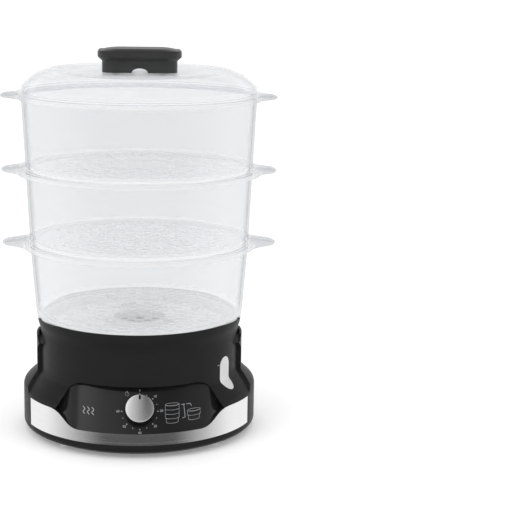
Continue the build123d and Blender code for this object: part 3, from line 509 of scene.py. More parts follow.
def rounded_path(points: Sequence[tuple[float, ...]], steps: int = 5) -> Array:
    """Open profile through corner points, some of them rounded.

    Formula: where two runs meet at the angle a, an arc of radius r touches both of them r / tan(a / 2)
    from the corner, and a point of it is the spherical blend of the two touching radii.

    Args:
        points: (across, up) or (across, up, radius of the corner) for each corner.
        steps: Points on each arc.

    Returns:
        The profile's points, one row each.
    """
    corners = np.array([p[:2] for p in points], float)
    radii = [p[2] if len(p) > 2 else 0.0 for p in points]
    rows = [corners[:1]]
    for before, corner, after, radius in zip(corners, corners[1:], corners[2:], radii[1:]):
        back = (before - corner) / np.linalg.norm(before - corner)
        on = (after - corner) / np.linalg.norm(after - corner)
        angle = np.arccos(np.clip(back @ on, -1, 1))
        if radius <= 0 or np.pi - angle < 1e-3:
            rows.append(corner[None])
            continue
        middle = corner + (back + on) / np.linalg.norm(back + on) * radius / np.sin(angle / 2)
        first = corner + back * radius / np.tan(angle / 2) - middle
        last = corner + on * radius / np.tan(angle / 2) - middle
        sweep = np.pi - angle
        t = np.linspace(0, 1, steps)[:, None]
        rows.append(middle + (np.sin((1 - t) * sweep) * first + np.sin(t * sweep) * last) / np.sin(sweep))
    rows.append(corners[-1:])
    return np.concatenate(rows)


def shifted_path(points: Array, distance: float) -> Array:
    """The open profile moved to its right by distance: each corner goes along its mitre."""
    runs = unit_rows(np.diff(points, axis=0))
    normals = np.stack([runs[:, 1], -runs[:, 0]], 1)
    before = np.concatenate([normals[:1], normals])
    after = np.concatenate([normals, normals[-1:]])
    mitre = unit_rows(before + after)
    return points + mitre * distance / np.sum(mitre * before, axis=1)[:, None]


def directions(angles: Array) -> Array:
    """(cos a, sin a) for each angle."""
    return np.stack([np.cos(angles), np.sin(angles)], 1)


def unit_rows(rows: Array) -> Array:
    """The rows, each divided by its length."""
    return rows / np.linalg.norm(rows, axis=1)[:, None]


def with_height(flat: Array, height: Array) -> Array:
    """Grid of flat points with a third coordinate, the same for every row where height is one row."""
    return np.concatenate([flat, np.broadcast_to(height, flat.shape[:2])[..., None]], 2)


def revolved(profile: Array, angles: Array) -> Array:
    """Surface of turning: a point is (r cos a, r sin a, z) for profile point (r, z) and angle a."""
    return with_height(directions(angles)[:, None] * profile[None, :, :1], profile[:, 1])


def outward_normals(points: Array) -> Array:
    """Unit normals of a closed anticlockwise outline, each square to the line between its neighbours."""
    along = unit_rows(np.roll(points, -1, 0) - np.roll(points, 1, 0))
    return np.stack([along[:, 1], -along[:, 0]], 1)


def circle_angles(count: int) -> Array:
    """Evenly spaced angles round a full turn, the first at 0."""
    return np.arange(count) * 2 * np.pi / count


def grid_faces(rows: int, columns: int, close_rows: bool = False) -> Array:
    """Four-cornered faces between neighbours of a grid of points kept row by row."""
    r, c = np.meshgrid(np.arange(rows - (not close_rows)), np.arange(columns - 1), indexing="ij")
    here, above = (r * columns + c).ravel(), ((r + 1) % rows * columns + c).ravel()
    return np.stack([here, above, above + 1, here + 1], 1)


def add_object(name: str, data: bpy.types.ID) -> Piece:
    """New object with that data, linked to the scene."""
    item = bpy.data.objects.new(name, data)
    bpy.context.scene.collection.objects.link(item)
    return item


def read_rows(elements: Sequence, key: str, width: int, kind: type = float) -> Array:
    """A property of every element of a mesh, one row of width numbers each."""
    values = np.empty(len(elements) * width, kind)
    elements.foreach_get(key, values)
    return values.reshape(-1, width)


class Surface:
    """Points and faces of one piece, gathered from grids before they become a mesh."""

    def __init__(self) -> None:
        """Starts with nothing in it."""
        self.points: list[Array] = []
        self.faces: list[Array] = []
        self.count = 0

    def add(self, points: Array, faces: Array) -> None:
        """Adds points, in millimetres, and the faces between them."""
        flat = np.asarray(points, float).reshape(-1, 3)
        self.points.append(flat)
        self.faces.append(np.asarray(faces) + self.count)
        self.count += len(flat)

    def add_grid(self, points: Array, close_rows: bool = False) -> None:
        """Adds a grid of points, rows by columns by 3."""
        self.add(points, grid_faces(points.shape[0], points.shape[1], close_rows))

    def add_block(self, shell: Array) -> None:
        """Adds a closed grid, and lids on its ends, each joining the first half of a column to the rest."""
        self.add_grid(shell, close_rows=True)
        half = len(shell) // 2
        for end in (shell[:, 0], shell[:, -1]):
            self.add_grid(np.stack([end[:half], end[: half - 1 : -1]], 1))

    def piece(self, name: str, sharp: float = 32.0, matrix: Optional[Array] = None) -> Piece:
        """Makes the object: doubles are merged, faces turned outwards and shaded smooth.

        Args:
            name: Name of the object and its mesh.
            sharp: Angle in degrees above which an edge stays sharp.
            matrix: Four by four placement applied to the points, in millimetres.

        Returns:
            The new object, linked to the scene.
        """
        points = np.concatenate(self.points)
        if matrix is not None:
            points = points @ matrix[:3, :3].T + matrix[:3, 3]
        faces = [tuple(face) for block in self.faces for face in block.tolist()]
        mesh = bpy.data.meshes.new(name)
        mesh.from_pydata((points * MM).tolist(), [], faces)
        edit = bmesh.new()
        edit.from_mesh(mesh)
        bmesh.ops.remove_doubles(edit, verts=edit.verts, dist=2e-6)
        bmesh.ops.recalc_face_normals(edit, faces=edit.faces)
        edit.to_mesh(mesh)
        edit.free()
        mesh.shade_smooth()
        mesh.set_sharp_from_angle(angle=np.radians(sharp))
        piece = add_object(name, mesh)
        crisp = piece.modifiers.new("crisp", "WEIGHTED_NORMAL")
        crisp.keep_sharp = True
        return piece


def ring_outline(radius: float, count: int, x: float = 0.0, y: float = 0.0) -> Array:
    """Circle of that radius about (x, y) as a closed outline of count points."""
    return directions(circle_angles(count)) * radius + [x, y]


def slot_outline(length: float, width: float, steps: int = 5) -> Array:
    """Round-ended slot along X, about the origin: two half circles joined by straight runs."""
    end = directions(np.linspace(-np.pi / 2, np.pi / 2, steps)) * width / 2
    reach = np.array([(length - width) / 2, 0.0])
    return np.concatenate([end + reach, -end - reach])


def pierced_sheet(
    outlines: Sequence[Array], is_hole: Callable[[Array], Array]
) -> tuple[Array, Array, Array]:
    """Flat triangles inside the first outline, with the holes left out.

    Args:
        outlines: Closed outlines; the first is the sheet's edge, the others are its holes and ribs.
        is_hole: Tells for each point of an array whether it lies in a hole.

    Returns:
        The sheet's points, its triangles, and the edges of its holes.
    """
    counts = np.array([len(o) for o in outlines])
    starts = np.repeat(np.cumsum(counts) - counts, counts)
    sizes = np.repeat(counts, counts)
    index = np.arange(counts.sum())
    edges = np.stack([index, starts + (index - starts + 1) % sizes], 1)
    flat = [Vector(p) for p in np.concatenate(outlines).tolist()]
    found = delaunay_2d_cdt(flat, edges.tolist(), [], 0, 1e-6, False)
    points = np.array([tuple(p) for p in found[0]])
    triangles = np.array([tuple(f) for f in found[2]])
    triangles = triangles[~is_hole(points[triangles].mean(1))]
    sides = np.sort(np.concatenate([triangles[:, [0, 1]], triangles[:, [1, 2]], triangles[:, [2, 0]]]), 1)
    sides, used = np.unique(sides, axis=0, return_counts=True)
    rims = sides[used == 1]
    far = np.linalg.norm(points, axis=1) > np.linalg.norm(outlines[0], axis=1).max() - 1e-3
    return points, triangles, rims[~far[rims].all(1)]


# ---------------------------------------------------------------------------- clear stack


@dataclass(frozen=True)
class BrickPattern:
    """Rows of slots in a bowl's floor, staggered like bricks, with egg rings and raised ribs."""

    pitch: float = 16.6
    row_pitch: float = 8.4
    slot_length: float = 9.0
    slot_width: float = 4.2
    reach: float = 94.0
    rib_radii: tuple[float, float] = (33.5, 68.2)
    rib_width: float = 1.1
    rib_height: float = 0.7
    egg_circle: float = 60.6
    egg_radius: float = 5.8
    edge_circle: float = 97.4
    edge_angles: tuple[float, ...] = (0.0, 18.5, 41.0, 65.0)
    edge_slot: tuple[float, float] = (8.0, 2.6)
    web: float = 1.4
    egg_sides: int = 24
    rib_sides: int = 96

    def egg_centres(self) -> Array:
        """Middles of the six egg holes."""
        return ring_outline(self.egg_circle, 6)

    def slot_centres(self) -> Array:
        """Middles of the slots that lie clear of the ribs, the egg holes and the floor's edge.

        Formula: row j stands at j times the row pitch, and every other row is half a pitch sideways.
        """
        rows = int(self.reach // self.row_pitch) + 1
        along = int(self.reach // self.pitch) + 1
        row, place = np.meshgrid(np.arange(-rows, rows + 1), np.arange(-along, along + 1), indexing="ij")
        x = (place + 0.5 * (row % 2)) * self.pitch
        y = row * self.row_pitch
        centres = np.stack([x.ravel(), y.ravel()], 1)
        half = np.array([(self.slot_length - self.slot_width) / 2, 0])
        ends = np.array([-1.0, 0.0, 1.0])[:, None, None] * half
        radii = np.linalg.norm(centres[None] + ends, axis=2)
        clear = self.slot_width / 2 + self.web
        good = radii.max(0) < self.reach - clear
        for rib in self.rib_radii:
            inside = radii.max(0) < rib - self.rib_width - clear
            outside = radii.min(0) > rib + self.rib_width + clear
            good &= inside | outside
        from_eggs = (centres[None] + ends)[:, :, None] - self.egg_centres()
        nearest = np.linalg.norm(from_eggs, axis=3).min((0, 2))
        return centres[good & (nearest > self.egg_radius + clear)]

    def edge_centres(self) -> tuple[Array, Array]:
        """Middles and directions of the short slots round the floor's edge, front and back."""
        angles = np.radians([s * a for a in self.edge_angles for s in ((1,) if a == 0 else (1, -1))])
        angles = np.concatenate([angles, angles + np.pi]) - np.pi / 2
        return directions(angles) * self.edge_circle, angles + np.pi / 2

    def outlines(self) -> list[Array]:
        """Outlines of all holes, and of the foot and top of each rib."""
        slot = slot_outline(self.slot_length, self.slot_width)
        rows = [slot + centre for centre in self.slot_centres()]
        centres, ways = self.edge_centres()
        small = slot_outline(*self.edge_slot)
        for centre, way in zip(centres, ways):
            turned = np.array([[np.cos(way), np.sin(way)], [-np.sin(way), np.cos(way)]])
            rows.append(small @ turned + centre)
        rows += [ring_outline(self.egg_radius, self.egg_sides, *centre) for centre in self.egg_centres()]
        for radius in self.rib_radii:
            rows += [ring_outline(radius + side * self.rib_width, self.rib_sides) for side in (-1, 0, 1)]
        return rows

    def is_hole(self, points: Array) -> Array:
        """True for each point within a slot, an edge slot or an egg hole, whose outline has flat sides."""
        reach = (self.slot_length - self.slot_width) / 2
        gap = np.abs(points[:, None] - self.slot_centres())
        along = np.maximum(gap[..., 0] - reach, 0)
        inside = (np.hypot(along, gap[..., 1]) < self.slot_width / 2).any(1)
        centres, ways = self.edge_centres()
        gap = points[:, None] - centres
        along = np.abs(gap[..., 0] * np.cos(ways) + gap[..., 1] * np.sin(ways))
        across = np.abs(gap[..., 1] * np.cos(ways) - gap[..., 0] * np.sin(ways))
        length, width = self.edge_slot
        inside |= (np.hypot(np.maximum(along - (length - width) / 2, 0), across) < width / 2).any(1)
        eggs = np.linalg.norm(points[:, None] - self.egg_centres(), axis=2)
        return inside | (eggs < self.egg_radius * 0.99).any(1)

    def rise(self, points: Array) -> Array:
        """Height of the ribs.

        Formula: a rib's height is multiplied by 1 less the square of the distance over its half width.
        """
        radii = np.linalg.norm(points, axis=1)[:, None]
        share = 1 - ((radii - np.array(self.rib_radii)) / self.rib_width) ** 2
        return self.rib_height * np.maximum(share, 0).max(1)


@dataclass(frozen=True)
class EaredRim:
    """Outline of a bowl's rim: a circle drawn out into a rounded ear at each side."""

    radius: float
    tip_reach: float = 145.0
    tip_round: float = 12.0
    root: tuple[float, float] = (105.0, 39.0)
    blend: float = 7.0
    fine_steps: int = 7200

    def polar(self, angles: Array) -> Array:
        """Radius of the outline at each angle.

        Formula: the ear is its tip circle, then the flank that touches it and runs to the root; the
        outline is the smooth maximum of ear and rim circle, which adds blend / 4 times the square of
        1 less their difference over blend.
        """
        turn = np.arctan2(np.abs(np.sin(angles)), np.abs(np.cos(angles)))
        centre = self.tip_reach - self.tip_round
        to_root = np.array([self.root[0] - centre, self.root[1]])
        lean = np.arctan2(to_root[1], to_root[0]) - np.arccos(self.tip_round / np.hypot(*to_root))
        flank = self.root[0] * np.cos(lean) + self.root[1] * np.sin(lean)
        touch = np.arctan2(self.tip_round * np.sin(lean), centre + self.tip_round * np.cos(lean))
        under = np.maximum(self.tip_round**2 - (centre * np.sin(turn)) ** 2, 0)
        tip = centre * np.cos(turn) + np.sqrt(under)
        line = flank / np.cos(np.minimum(np.abs(turn - lean), 1.5))
        ear = np.where(turn < touch, tip, np.where(turn < lean, line, 0.0))
        near = np.maximum(self.blend - np.abs(ear - self.radius), 0) / self.blend
        return np.maximum(ear, self.radius) + near**2 * self.blend / 4

    def outline(self, count: int) -> tuple[Array, Array]:
        """Points at even steps along the outline, and the outward normal at each."""
        fine = circle_angles(self.fine_steps)
        dense = directions(fine) * self.polar(fine)[:, None]
        closed = np.concatenate([dense, dense[:1]])
        run = np.concatenate([[0.0], np.cumsum(np.linalg.norm(np.diff(closed, axis=0), axis=1))])
        even = np.arange(count) * run[-1] / count
        points = np.stack([np.interp(even, run, closed[:, k]) for k in (0, 1)], 1)
        return points, outward_normals(points)


@dataclass(frozen=True)
class SteamBowl:
    """Clear bowl: pierced floor, tapering wall, turned-down rim with two ears, and a spigot below."""

    name: str
    node: str
    body: str
    seat: float
    foot: float
    mouth: float
    rim: float
    spigot: float
    bead: float = 0.8
    height: float = 77.45
    wall: float = 2.0
    steps: int = 360
    tip_length: float = 6.0
    tip_thinning: float = 0.6
    border: float = 2.0
    border_edge: float = 2.8
    edge_depth: float = 4.8
    edge_wall: float = 1.8
    wide_border: float = 6.0
    corner_reach: float = 7.2
    spigot_wall: float = 1.6
    spigot_depth: float = 3.0
    rim_zone: float = 6.0
    ear_zone: float = 0.8
    corner_zone: tuple[float, float] = (-0.1, 4.5)
    pattern: BrickPattern = BrickPattern()

    @property
    def top(self) -> float:
        """Height of the border round the mouth."""
        return self.seat + self.height

    @property
    def floor_edge(self) -> float:
        """Radius where the pierced floor joins the turned shell."""
        return min(self.foot - self.corner_reach, self.spigot - self.spigot_wall) - 0.3

    @property
    def is_wide(self) -> bool:
        """True where the border round the mouth has room for a raised bead."""
        return self.rim - self.mouth > self.wide_border

    def inner_profile(self) -> Array:
        """(radius, height) from the floor up the inside, over the mouth and its bead."""
        top, floor = self.top, self.seat + self.wall
        lift = self.bead if self.is_wide else 0.0
        bead = [1.2, 1.9, 2.9, 3.6] if self.is_wide else [0.5, 0.9, 1.3, 1.7]
        points = [
            (self.floor_edge, floor),
            (self.foot - self.wall, floor, 5.0),
            (self.mouth - self.wall, top, 0.8),
            (self.mouth + bead[0], top, 0.3),
            (self.mouth + bead[1], top + lift, 0.3),
            (self.mouth + bead[2], top + lift, 0.3),
            (self.mouth + bead[3], top),
        ]
        return rounded_path(points)

    def edge_profile(self) -> Array:
        """(distance inside the rim's outline, height) over the border, down the edge and back under."""
        top, lift = self.top, 0.5 if self.is_wide else 0.15
        points = [
            (self.border_edge, top),
            (self.border_edge - 0.5, top + lift, 0.2),
            (0.0, top + lift, 0.9),
            (0.0, top - self.edge_depth, 0.6),
            (self.edge_wall, top - self.edge_depth, 0.5),
            (self.edge_wall, top - self.border, 0.5),
            (self.border_edge, top - self.border),
        ]
        return rounded_path(points, 4)

    def outer_profile(self) -> Array:
        """(radius, height) down the outside, round the foot, the spigot, and in under the floor."""
        top, inside = self.top, self.spigot - self.spigot_wall
        points = [
            (self.mouth + 1.2, top - self.border),
            (self.mouth - 0.1, top - self.border, 1.0),
            (self.foot, self.seat, 1.2),
            (self.spigot, self.seat, 0.4),
            (self.spigot, self.seat - self.spigot_depth, 0.4),
            (inside, self.seat - self.spigot_depth, 0.4),
            (inside, self.seat),
            (self.floor_edge, self.seat),
        ]
        return rounded_path(points, 4)

    def build(self, wardrobe: Wardrobe) -> Piece:
        """Makes the shell and the pierced floor as one closed mesh and puts it for its CAD node.

        Formula: the turned-down edge thins about its middle height towards the ears' tips, by the
        thinning times the square of how far into the tip's length the outline has come.
        """
        rim = EaredRim(self.rim)
        points, normals = rim.outline(self.steps)
        angles = np.arctan2(points[:, 1], points[:, 0])
        inner = revolved(self.inner_profile(), angles)
        outer = revolved(self.outer_profile(), angles)
        edge = self.edge_profile()
        flat = points[:, None] - normals[:, None] * edge[None, :, :1]
        into_tip = np.clip(1 - (rim.tip_reach - np.linalg.norm(points, axis=1)) / self.tip_length, 0, 1)
        middle = self.top - self.edge_depth / 2
        height = middle + (edge[:, 1] - middle) * (1 - self.tip_thinning * into_tip[:, None] ** 2)
        surface = Surface()
        shell = np.concatenate([inner, with_height(flat, height), outer], 1)
        surface.add_grid(shell, close_rows=True)
        circle = directions(angles) * self.floor_edge
        sheet, triangles, rims = pierced_sheet([circle, *self.pattern.outlines()], self.pattern.is_hole)
        top = np.column_stack([sheet, self.seat + self.wall + self.pattern.rise(sheet)])
        bottom = np.column_stack([sheet, np.full(len(sheet), self.seat)])
        surface.add(top, triangles)
        surface.add(bottom, triangles[:, ::-1])
        sides = np.concatenate([rims, rims[:, ::-1] + len(sheet)], 1)
        surface.add(np.concatenate([top, bottom]), sides)
        piece = surface.piece(self.name)
        wardrobe.dress(piece, Slot.CLEAR_BOWL)
        self.mark_zones(piece, wardrobe)
        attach(piece, self.body)
        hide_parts(self.node)
        return piece

    def mark_zones(self, piece: Piece, wardrobe: Wardrobe) -> None:
        """Gives the floor, its corner, the slots' edges, the thick rim and the ears their own finishes.

        A face belongs to the zone that its middle lies in, with a little to spare round each.
        """
        mesh = piece.data
        for finish in (PIERCED_FLOOR, THICK_RIM, SLOT_EDGE, FLOOR_CORNER, EAR):
            mesh.materials.append(wardrobe.material(finish))
        middles = read_rows(mesh.polygons, "center", 3) / MM
        upright = np.abs(read_rows(mesh.polygons, "normal", 3)[:, 2]) < UPRIGHT_LIMIT
        out, height = np.hypot(middles[:, 0], middles[:, 1]), middles[:, 2] - self.seat
        floor = out < self.floor_edge
        rim = (out > self.mouth) & (height > self.height - self.rim_zone)
        ear = rim & (out > self.rim + self.ear_zone)
        corner = (height > self.corner_zone[0]) & (height < self.corner_zone[1])
        zones = np.select([floor & upright, floor, ear, rim, corner], [3, 1, 5, 2, 4])
        mesh.polygons.foreach_set("material_index", zones)


@dataclass(frozen=True)
class DomedLid:
    """Clear lid: flange, stepped wall, sloping shoulder, crest and shallow dish for the handle."""

    seat: float = 359.05
    wall_radius: float = 122.5
    rim_radius: float = 127.5
    spigot: float = 120.64
    spigot_wall: float = 1.6
    spigot_depth: float = 5.0
    flange: float = 2.0
    dish: float = 22.8
    wall: float = 2.0
    steps: int = 300

    def outer_profile(self) -> Array:
        """(radius, height above the seat) from the middle of the dish out to the wall's foot."""
        r = self.wall_radius
        points = [
            (0.0, self.dish),
            (r - 44.5, self.dish, 6.0),
            (r - 29.0, 26.0, 9.0),
            (r - 14.5, 20.3, 5.0),
            (r - 6.2, 14.0, 4.0),
            (r, 8.0, 2.0),
            (r, self.flange),
        ]
        return rounded_path(points, 7)

    def build(self, wardrobe: Wardrobe) -> Piece:
        """Turns the whole closed profile and puts it for the CAD lid."""
        outer = self.outer_profile()
        inner = shifted_path(outer, self.wall)[::-1]
        inner[-1, 0] = 0.0
        points = [
            (self.wall_radius, self.flange),
            (self.wall_radius + 0.4, self.flange, 0.3),
            (self.rim_radius, self.flange, 0.7),
            (self.rim_radius, 0.0, 0.5),
            (self.spigot, 0.0, 0.3),
            (self.spigot, -self.spigot_depth, 0.5),
            (self.spigot - self.spigot_wall, -self.spigot_depth, 0.5),
            (self.spigot - self.spigot_wall, 1.2, 0.4),
            (self.wall_radius - self.wall, self.flange),
        ]
        flange = rounded_path(points, 4)
        profile = np.concatenate([outer, flange, inner])
        profile[:, 1] += self.seat
        surface = Surface()
        surface.add_grid(revolved(profile, circle_angles(self.steps)), close_rows=True)
        piece = surface.piece("clear_lid")
        wardrobe.dress(piece, Slot.CLEAR_BOWL, CLEAR_LID)
        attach(piece, "lid")
        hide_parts("lid")
        return piece


@dataclass(frozen=True)
class CappedHandle:
    """Black lid handle: a block with a wider crowned cap and a half-round tunnel under it."""

    foot: float = 381.85
    width: float = 78.0
    depth: float = 44.0
    corner: float = 10.0
    neck: float = 12.0
    overhang: float = 4.5
    chamfer: float = 4.2
    side: float = 5.2
    crown: float = 3.2
    crown_inset: tuple[float, float] = (16.0, 9.0)
    crown_power: float = 1.6
    notch: tuple[float, float] = (8.5, 4.8)
    side_stops: tuple[float, float] = (0.001, 0.3)
    corner_steps: int = 9
    front_steps: int = 8
    notch_steps: int = 21
    crown_steps: int = 14

    def outline(self) -> Array:
        """Front half of the block's plan from left to right: corner, straight front, corner."""
        half = np.array([self.width / 2, self.depth / 2])
        turn = np.linspace(np.pi, 1.5 * np.pi, self.corner_steps)
        left = directions(turn) * self.corner - half + self.corner
        side = np.array([[-half[0], -half[1] * stop] for stop in self.side_stops])
        left = np.concatenate([side, left])
        reach = half[0] - self.corner
        tunnel = np.sin(np.linspace(-np.pi / 2, np.pi / 2, self.notch_steps)) * self.notch[0]
        beside = np.linspace(self.notch[0], reach, self.front_steps)[1:-1]
        x = np.concatenate([-beside[::-1], tunnel, beside])
        front = np.stack([x, np.full(len(x), -half[1])], 1)
        return np.concatenate([left, front, left[::-1] * [-1, 1]])

    def tiers(self) -> tuple[Array, Array]:
        """(offset outwards, height) up to the cap's side, then (share of the crown's inset, height)."""
        top = self.neck + self.chamfer + self.side
        points = [
            (-0.6, 0.0),
            (0.0, 0.6, 0.5),
            (0.0, self.neck, 0.6),
            (self.overhang, self.neck + self.chamfer, 0.5),
            (self.overhang, top, 0.5),
            (self.overhang - 1.2, top + 1.1),
        ]
        rise = rounded_path(points)
        t = np.linspace(0.1, 1.0, self.crown_steps)
        return rise, np.stack([t, top + self.crown * (1 - (1 - t) ** self.crown_power)], 1)

    def build(self, wardrobe: Wardrobe) -> Piece:
        """Lofts the outline through its tiers, closes top and foot, and puts it for the CAD handle.

        Formula: a tier moves the outline outwards along its normal by its offset, and the crown draws
        it in by a share t of the inset while it rises by 1 less the crown's power of 1 - t.
        """
        half = self.outline()
        full = np.concatenate([half, half[::-1] * [1, -1]])
        normals = outward_normals(full)
        rise, crown = self.tiers()
        body = with_height(full[:, None] + normals[:, None] * rise[None, :, :1], rise[:, 1])
        arch = self.notch[1] * np.sqrt(np.maximum(1 - (full[:, 0] / self.notch[0]) ** 2, 0))
        body[..., 2] = np.maximum(body[..., 2], arch[:, None] * (rise[None, :, 1] < self.notch[1] + 1))
        edge = full + normals * self.overhang
        reach = np.array([self.width, self.depth]) / 2 + self.overhang
        scale = 1 - crown[None, :, :1] * np.array(self.crown_inset) / reach
        cap = with_height(edge[:, None] * scale, crown[:, 1])
        surface = Surface()
        surface.add_block(np.concatenate([body, cap], 1) + [0, 0, self.foot])
        piece = surface.piece("handle_block", 40.0)
        wardrobe.dress(piece, Slot.HANDLE_BLACK)
        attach(piece, "lid")
        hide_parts("lid_handle")
        return piece


# ---------------------------------------------------------------------------- base


@dataclass(frozen=True)
class DialPlace:
    """The timer dial's centre on the sloping panel, whose plan is round and slides back as it rises."""

    radius: float = 111.2086
    height: float = 46.5
    slope: float = 0.649312
    plan_radius: float = 124.0

    def placement(self) -> Array:
        """Matrix that stands a part made about +Z on the panel, its X level and its Y up the slope."""
        lean = np.arctan(self.slope)
        matrix = np.eye(4)
        matrix[:3, 0] = (1, 0, 0)
        matrix[:3, 1] = (0, np.sin(lean), np.cos(lean))
        matrix[:3, 2] = (0, -np.cos(lean), np.sin(lean))
        matrix[:3, 3] = (0, -self.radius, self.height)
        return matrix

    def on_panel(self, flat: Array, lift: float) -> Array:
        """Wraps flat points round the panel.

        Formula: a point u across and v up the slope is turned by t = u / R round the plan's circle of
        radius R, so it lies R sin t sideways and R (1 - cos t) behind the dial's own upright line, and
        v along the slope; lift then moves it along the panel's normal (sin t, -cos t, slope cos t).

        Args:
            flat: (u, v) of each point from the dial's centre, in millimetres.
            lift: Height above the panel.

        Returns:
            The points' places.
        """
        lean = np.arctan(self.slope)
        turn = flat[:, 0] / self.plan_radius
        back = self.plan_radius * (1 - np.cos(turn)) + flat[:, 1] * np.sin(lean) - self.radius
        place = np.stack([self.plan_radius * np.sin(turn), back, self.height + flat[:, 1] * np.cos(lean)], 1)
        normal = np.stack([np.sin(turn), -np.cos(turn), self.slope * np.cos(turn)], 1)
        return place + lift * unit_rows(normal)


@dataclass(frozen=True)
class TimerKnob:
    """Turning knob: black skirt and body, a spun silver disc and a black pointer let into it."""

    place: DialPlace = DialPlace()
    skirt: float = 15.4
    radius: float = 14.6
    disc: float = 14.35
    top: float = 14.0
    pointer: tuple[float, float] = (5.0, 2.0)
    pointer_middle: float = 11.5
    dome: float = 0.9
    ledge: float = 12.9
    bore: float = 12.6
    bore_top: float = 11.0
    gap: float = 1.0
    steps: int = 120

    def body_surface(self) -> Surface:
        """Body and skirt, hollow from below."""
        points = [
            (0.0, self.ledge),
            (self.radius, self.ledge, 0.5),
            (self.radius, 3.0, 0.4),
            (self.skirt, 2.6, 0.5),
            (self.skirt, self.gap, 0.3),
            (self.bore, self.gap),
            (self.bore, self.bore_top, 1.0),
            (0.0, self.bore_top),
        ]
        body = Surface()
        body.add_grid(revolved(rounded_path(points), circle_angles(self.steps)), close_rows=True)
        return body

    def disc_surface(self) -> Surface:
        """Domed disc: it falls by the dome times the square of the share of its radius."""
        out = np.linspace(0.0, self.disc - 0.4, 12)
        crown = np.stack([out, self.top - self.dome * (out / self.disc) ** 2], 1)
        edge = [(self.disc, self.top - self.dome - 0.06), (self.disc, self.ledge), (0.0, self.ledge)]
        disc = Surface()
        disc.add_grid(revolved(np.concatenate([crown, edge]), circle_angles(self.steps)), close_rows=True)
        return disc

    def pointer_surface(self) -> Surface:
        """Round-ended mark that follows the disc's dome and stands a little above it."""
        middle = np.array([0, self.pointer_middle])
        outline = slot_outline(*self.pointer, 9)[:, ::-1] * [1, -1] + middle
        levels = np.array([[0.2, -0.2], [0.0, -0.2], [0.0, 0.06], [0.12, 0.14]]) + [0.0, self.top]
        inset = 1 - levels[None, :, :1] / (self.pointer[1] / 2)
        wall = middle + (outline[:, None] - middle) * inset
        sunk = levels[:, 1] - self.dome * (wall**2).sum(2) / self.disc**2
        pointer = Surface()
        pointer.add_block(with_height(wall, sunk))
        return pointer

    def build(self, wardrobe: Wardrobe) -> list[Piece]:
        """Makes body, disc and pointer and puts them for the CAD knob's three shown nodes."""
        made = [
            (self.body_surface(), "knob_body", "timer_knob", Slot.KNOB_BLACK),
            (self.disc_surface(), "knob_disc", "knob_face", Slot.KNOB_SILVER),
            (self.pointer_surface(), "knob_mark", "knob_pointer", Slot.KNOB_BLACK),
        ]
        pieces = []
        for surface, name, node, slot in made:
            piece = surface.piece(name, matrix=self.place.placement())
            wardrobe.dress(piece, slot)
            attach(piece, "knob")
            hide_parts(node)
            pieces.append(piece)
        self.map_disc(pieces[1])
        return pieces

    def map_disc(self, disc: Piece) -> None:
        """UV map of the disc: U runs once round it and V from its middle to its edge."""
        mesh = disc.data
        matrix = self.place.placement()
        local = (read_rows(mesh.vertices, "co", 3) / MM - matrix[:3, 3]) @ matrix[:3, :3]
        corners = read_rows(mesh.loops, "vertex_index", 1, int)[:, 0]
        starts = read_rows(mesh.polygons, "loop_start", 1, int)[:, 0]
        totals = read_rows(mesh.polygons, "loop_total", 1, int)[:, 0]
        owner = np.repeat(np.arange(len(starts)), totals)
        middles = np.add.reduceat(local[corners], starts) / totals[:, None]
        base = np.arctan2(middles[:, 1], middles[:, 0])[owner]
        own = np.arctan2(local[corners, 1], local[corners, 0])
        around = base + (own - base + np.pi) % (2 * np.pi) - np.pi
        out = np.linalg.norm(local[corners, :2], axis=1)
        around = np.where(out < 1e-3, base, around)
        layer = mesh.uv_layers.new(name="Turned")
        layer.data.foreach_set("uv", np.stack([around / (2 * np.pi), out / self.disc], 1).ravel())


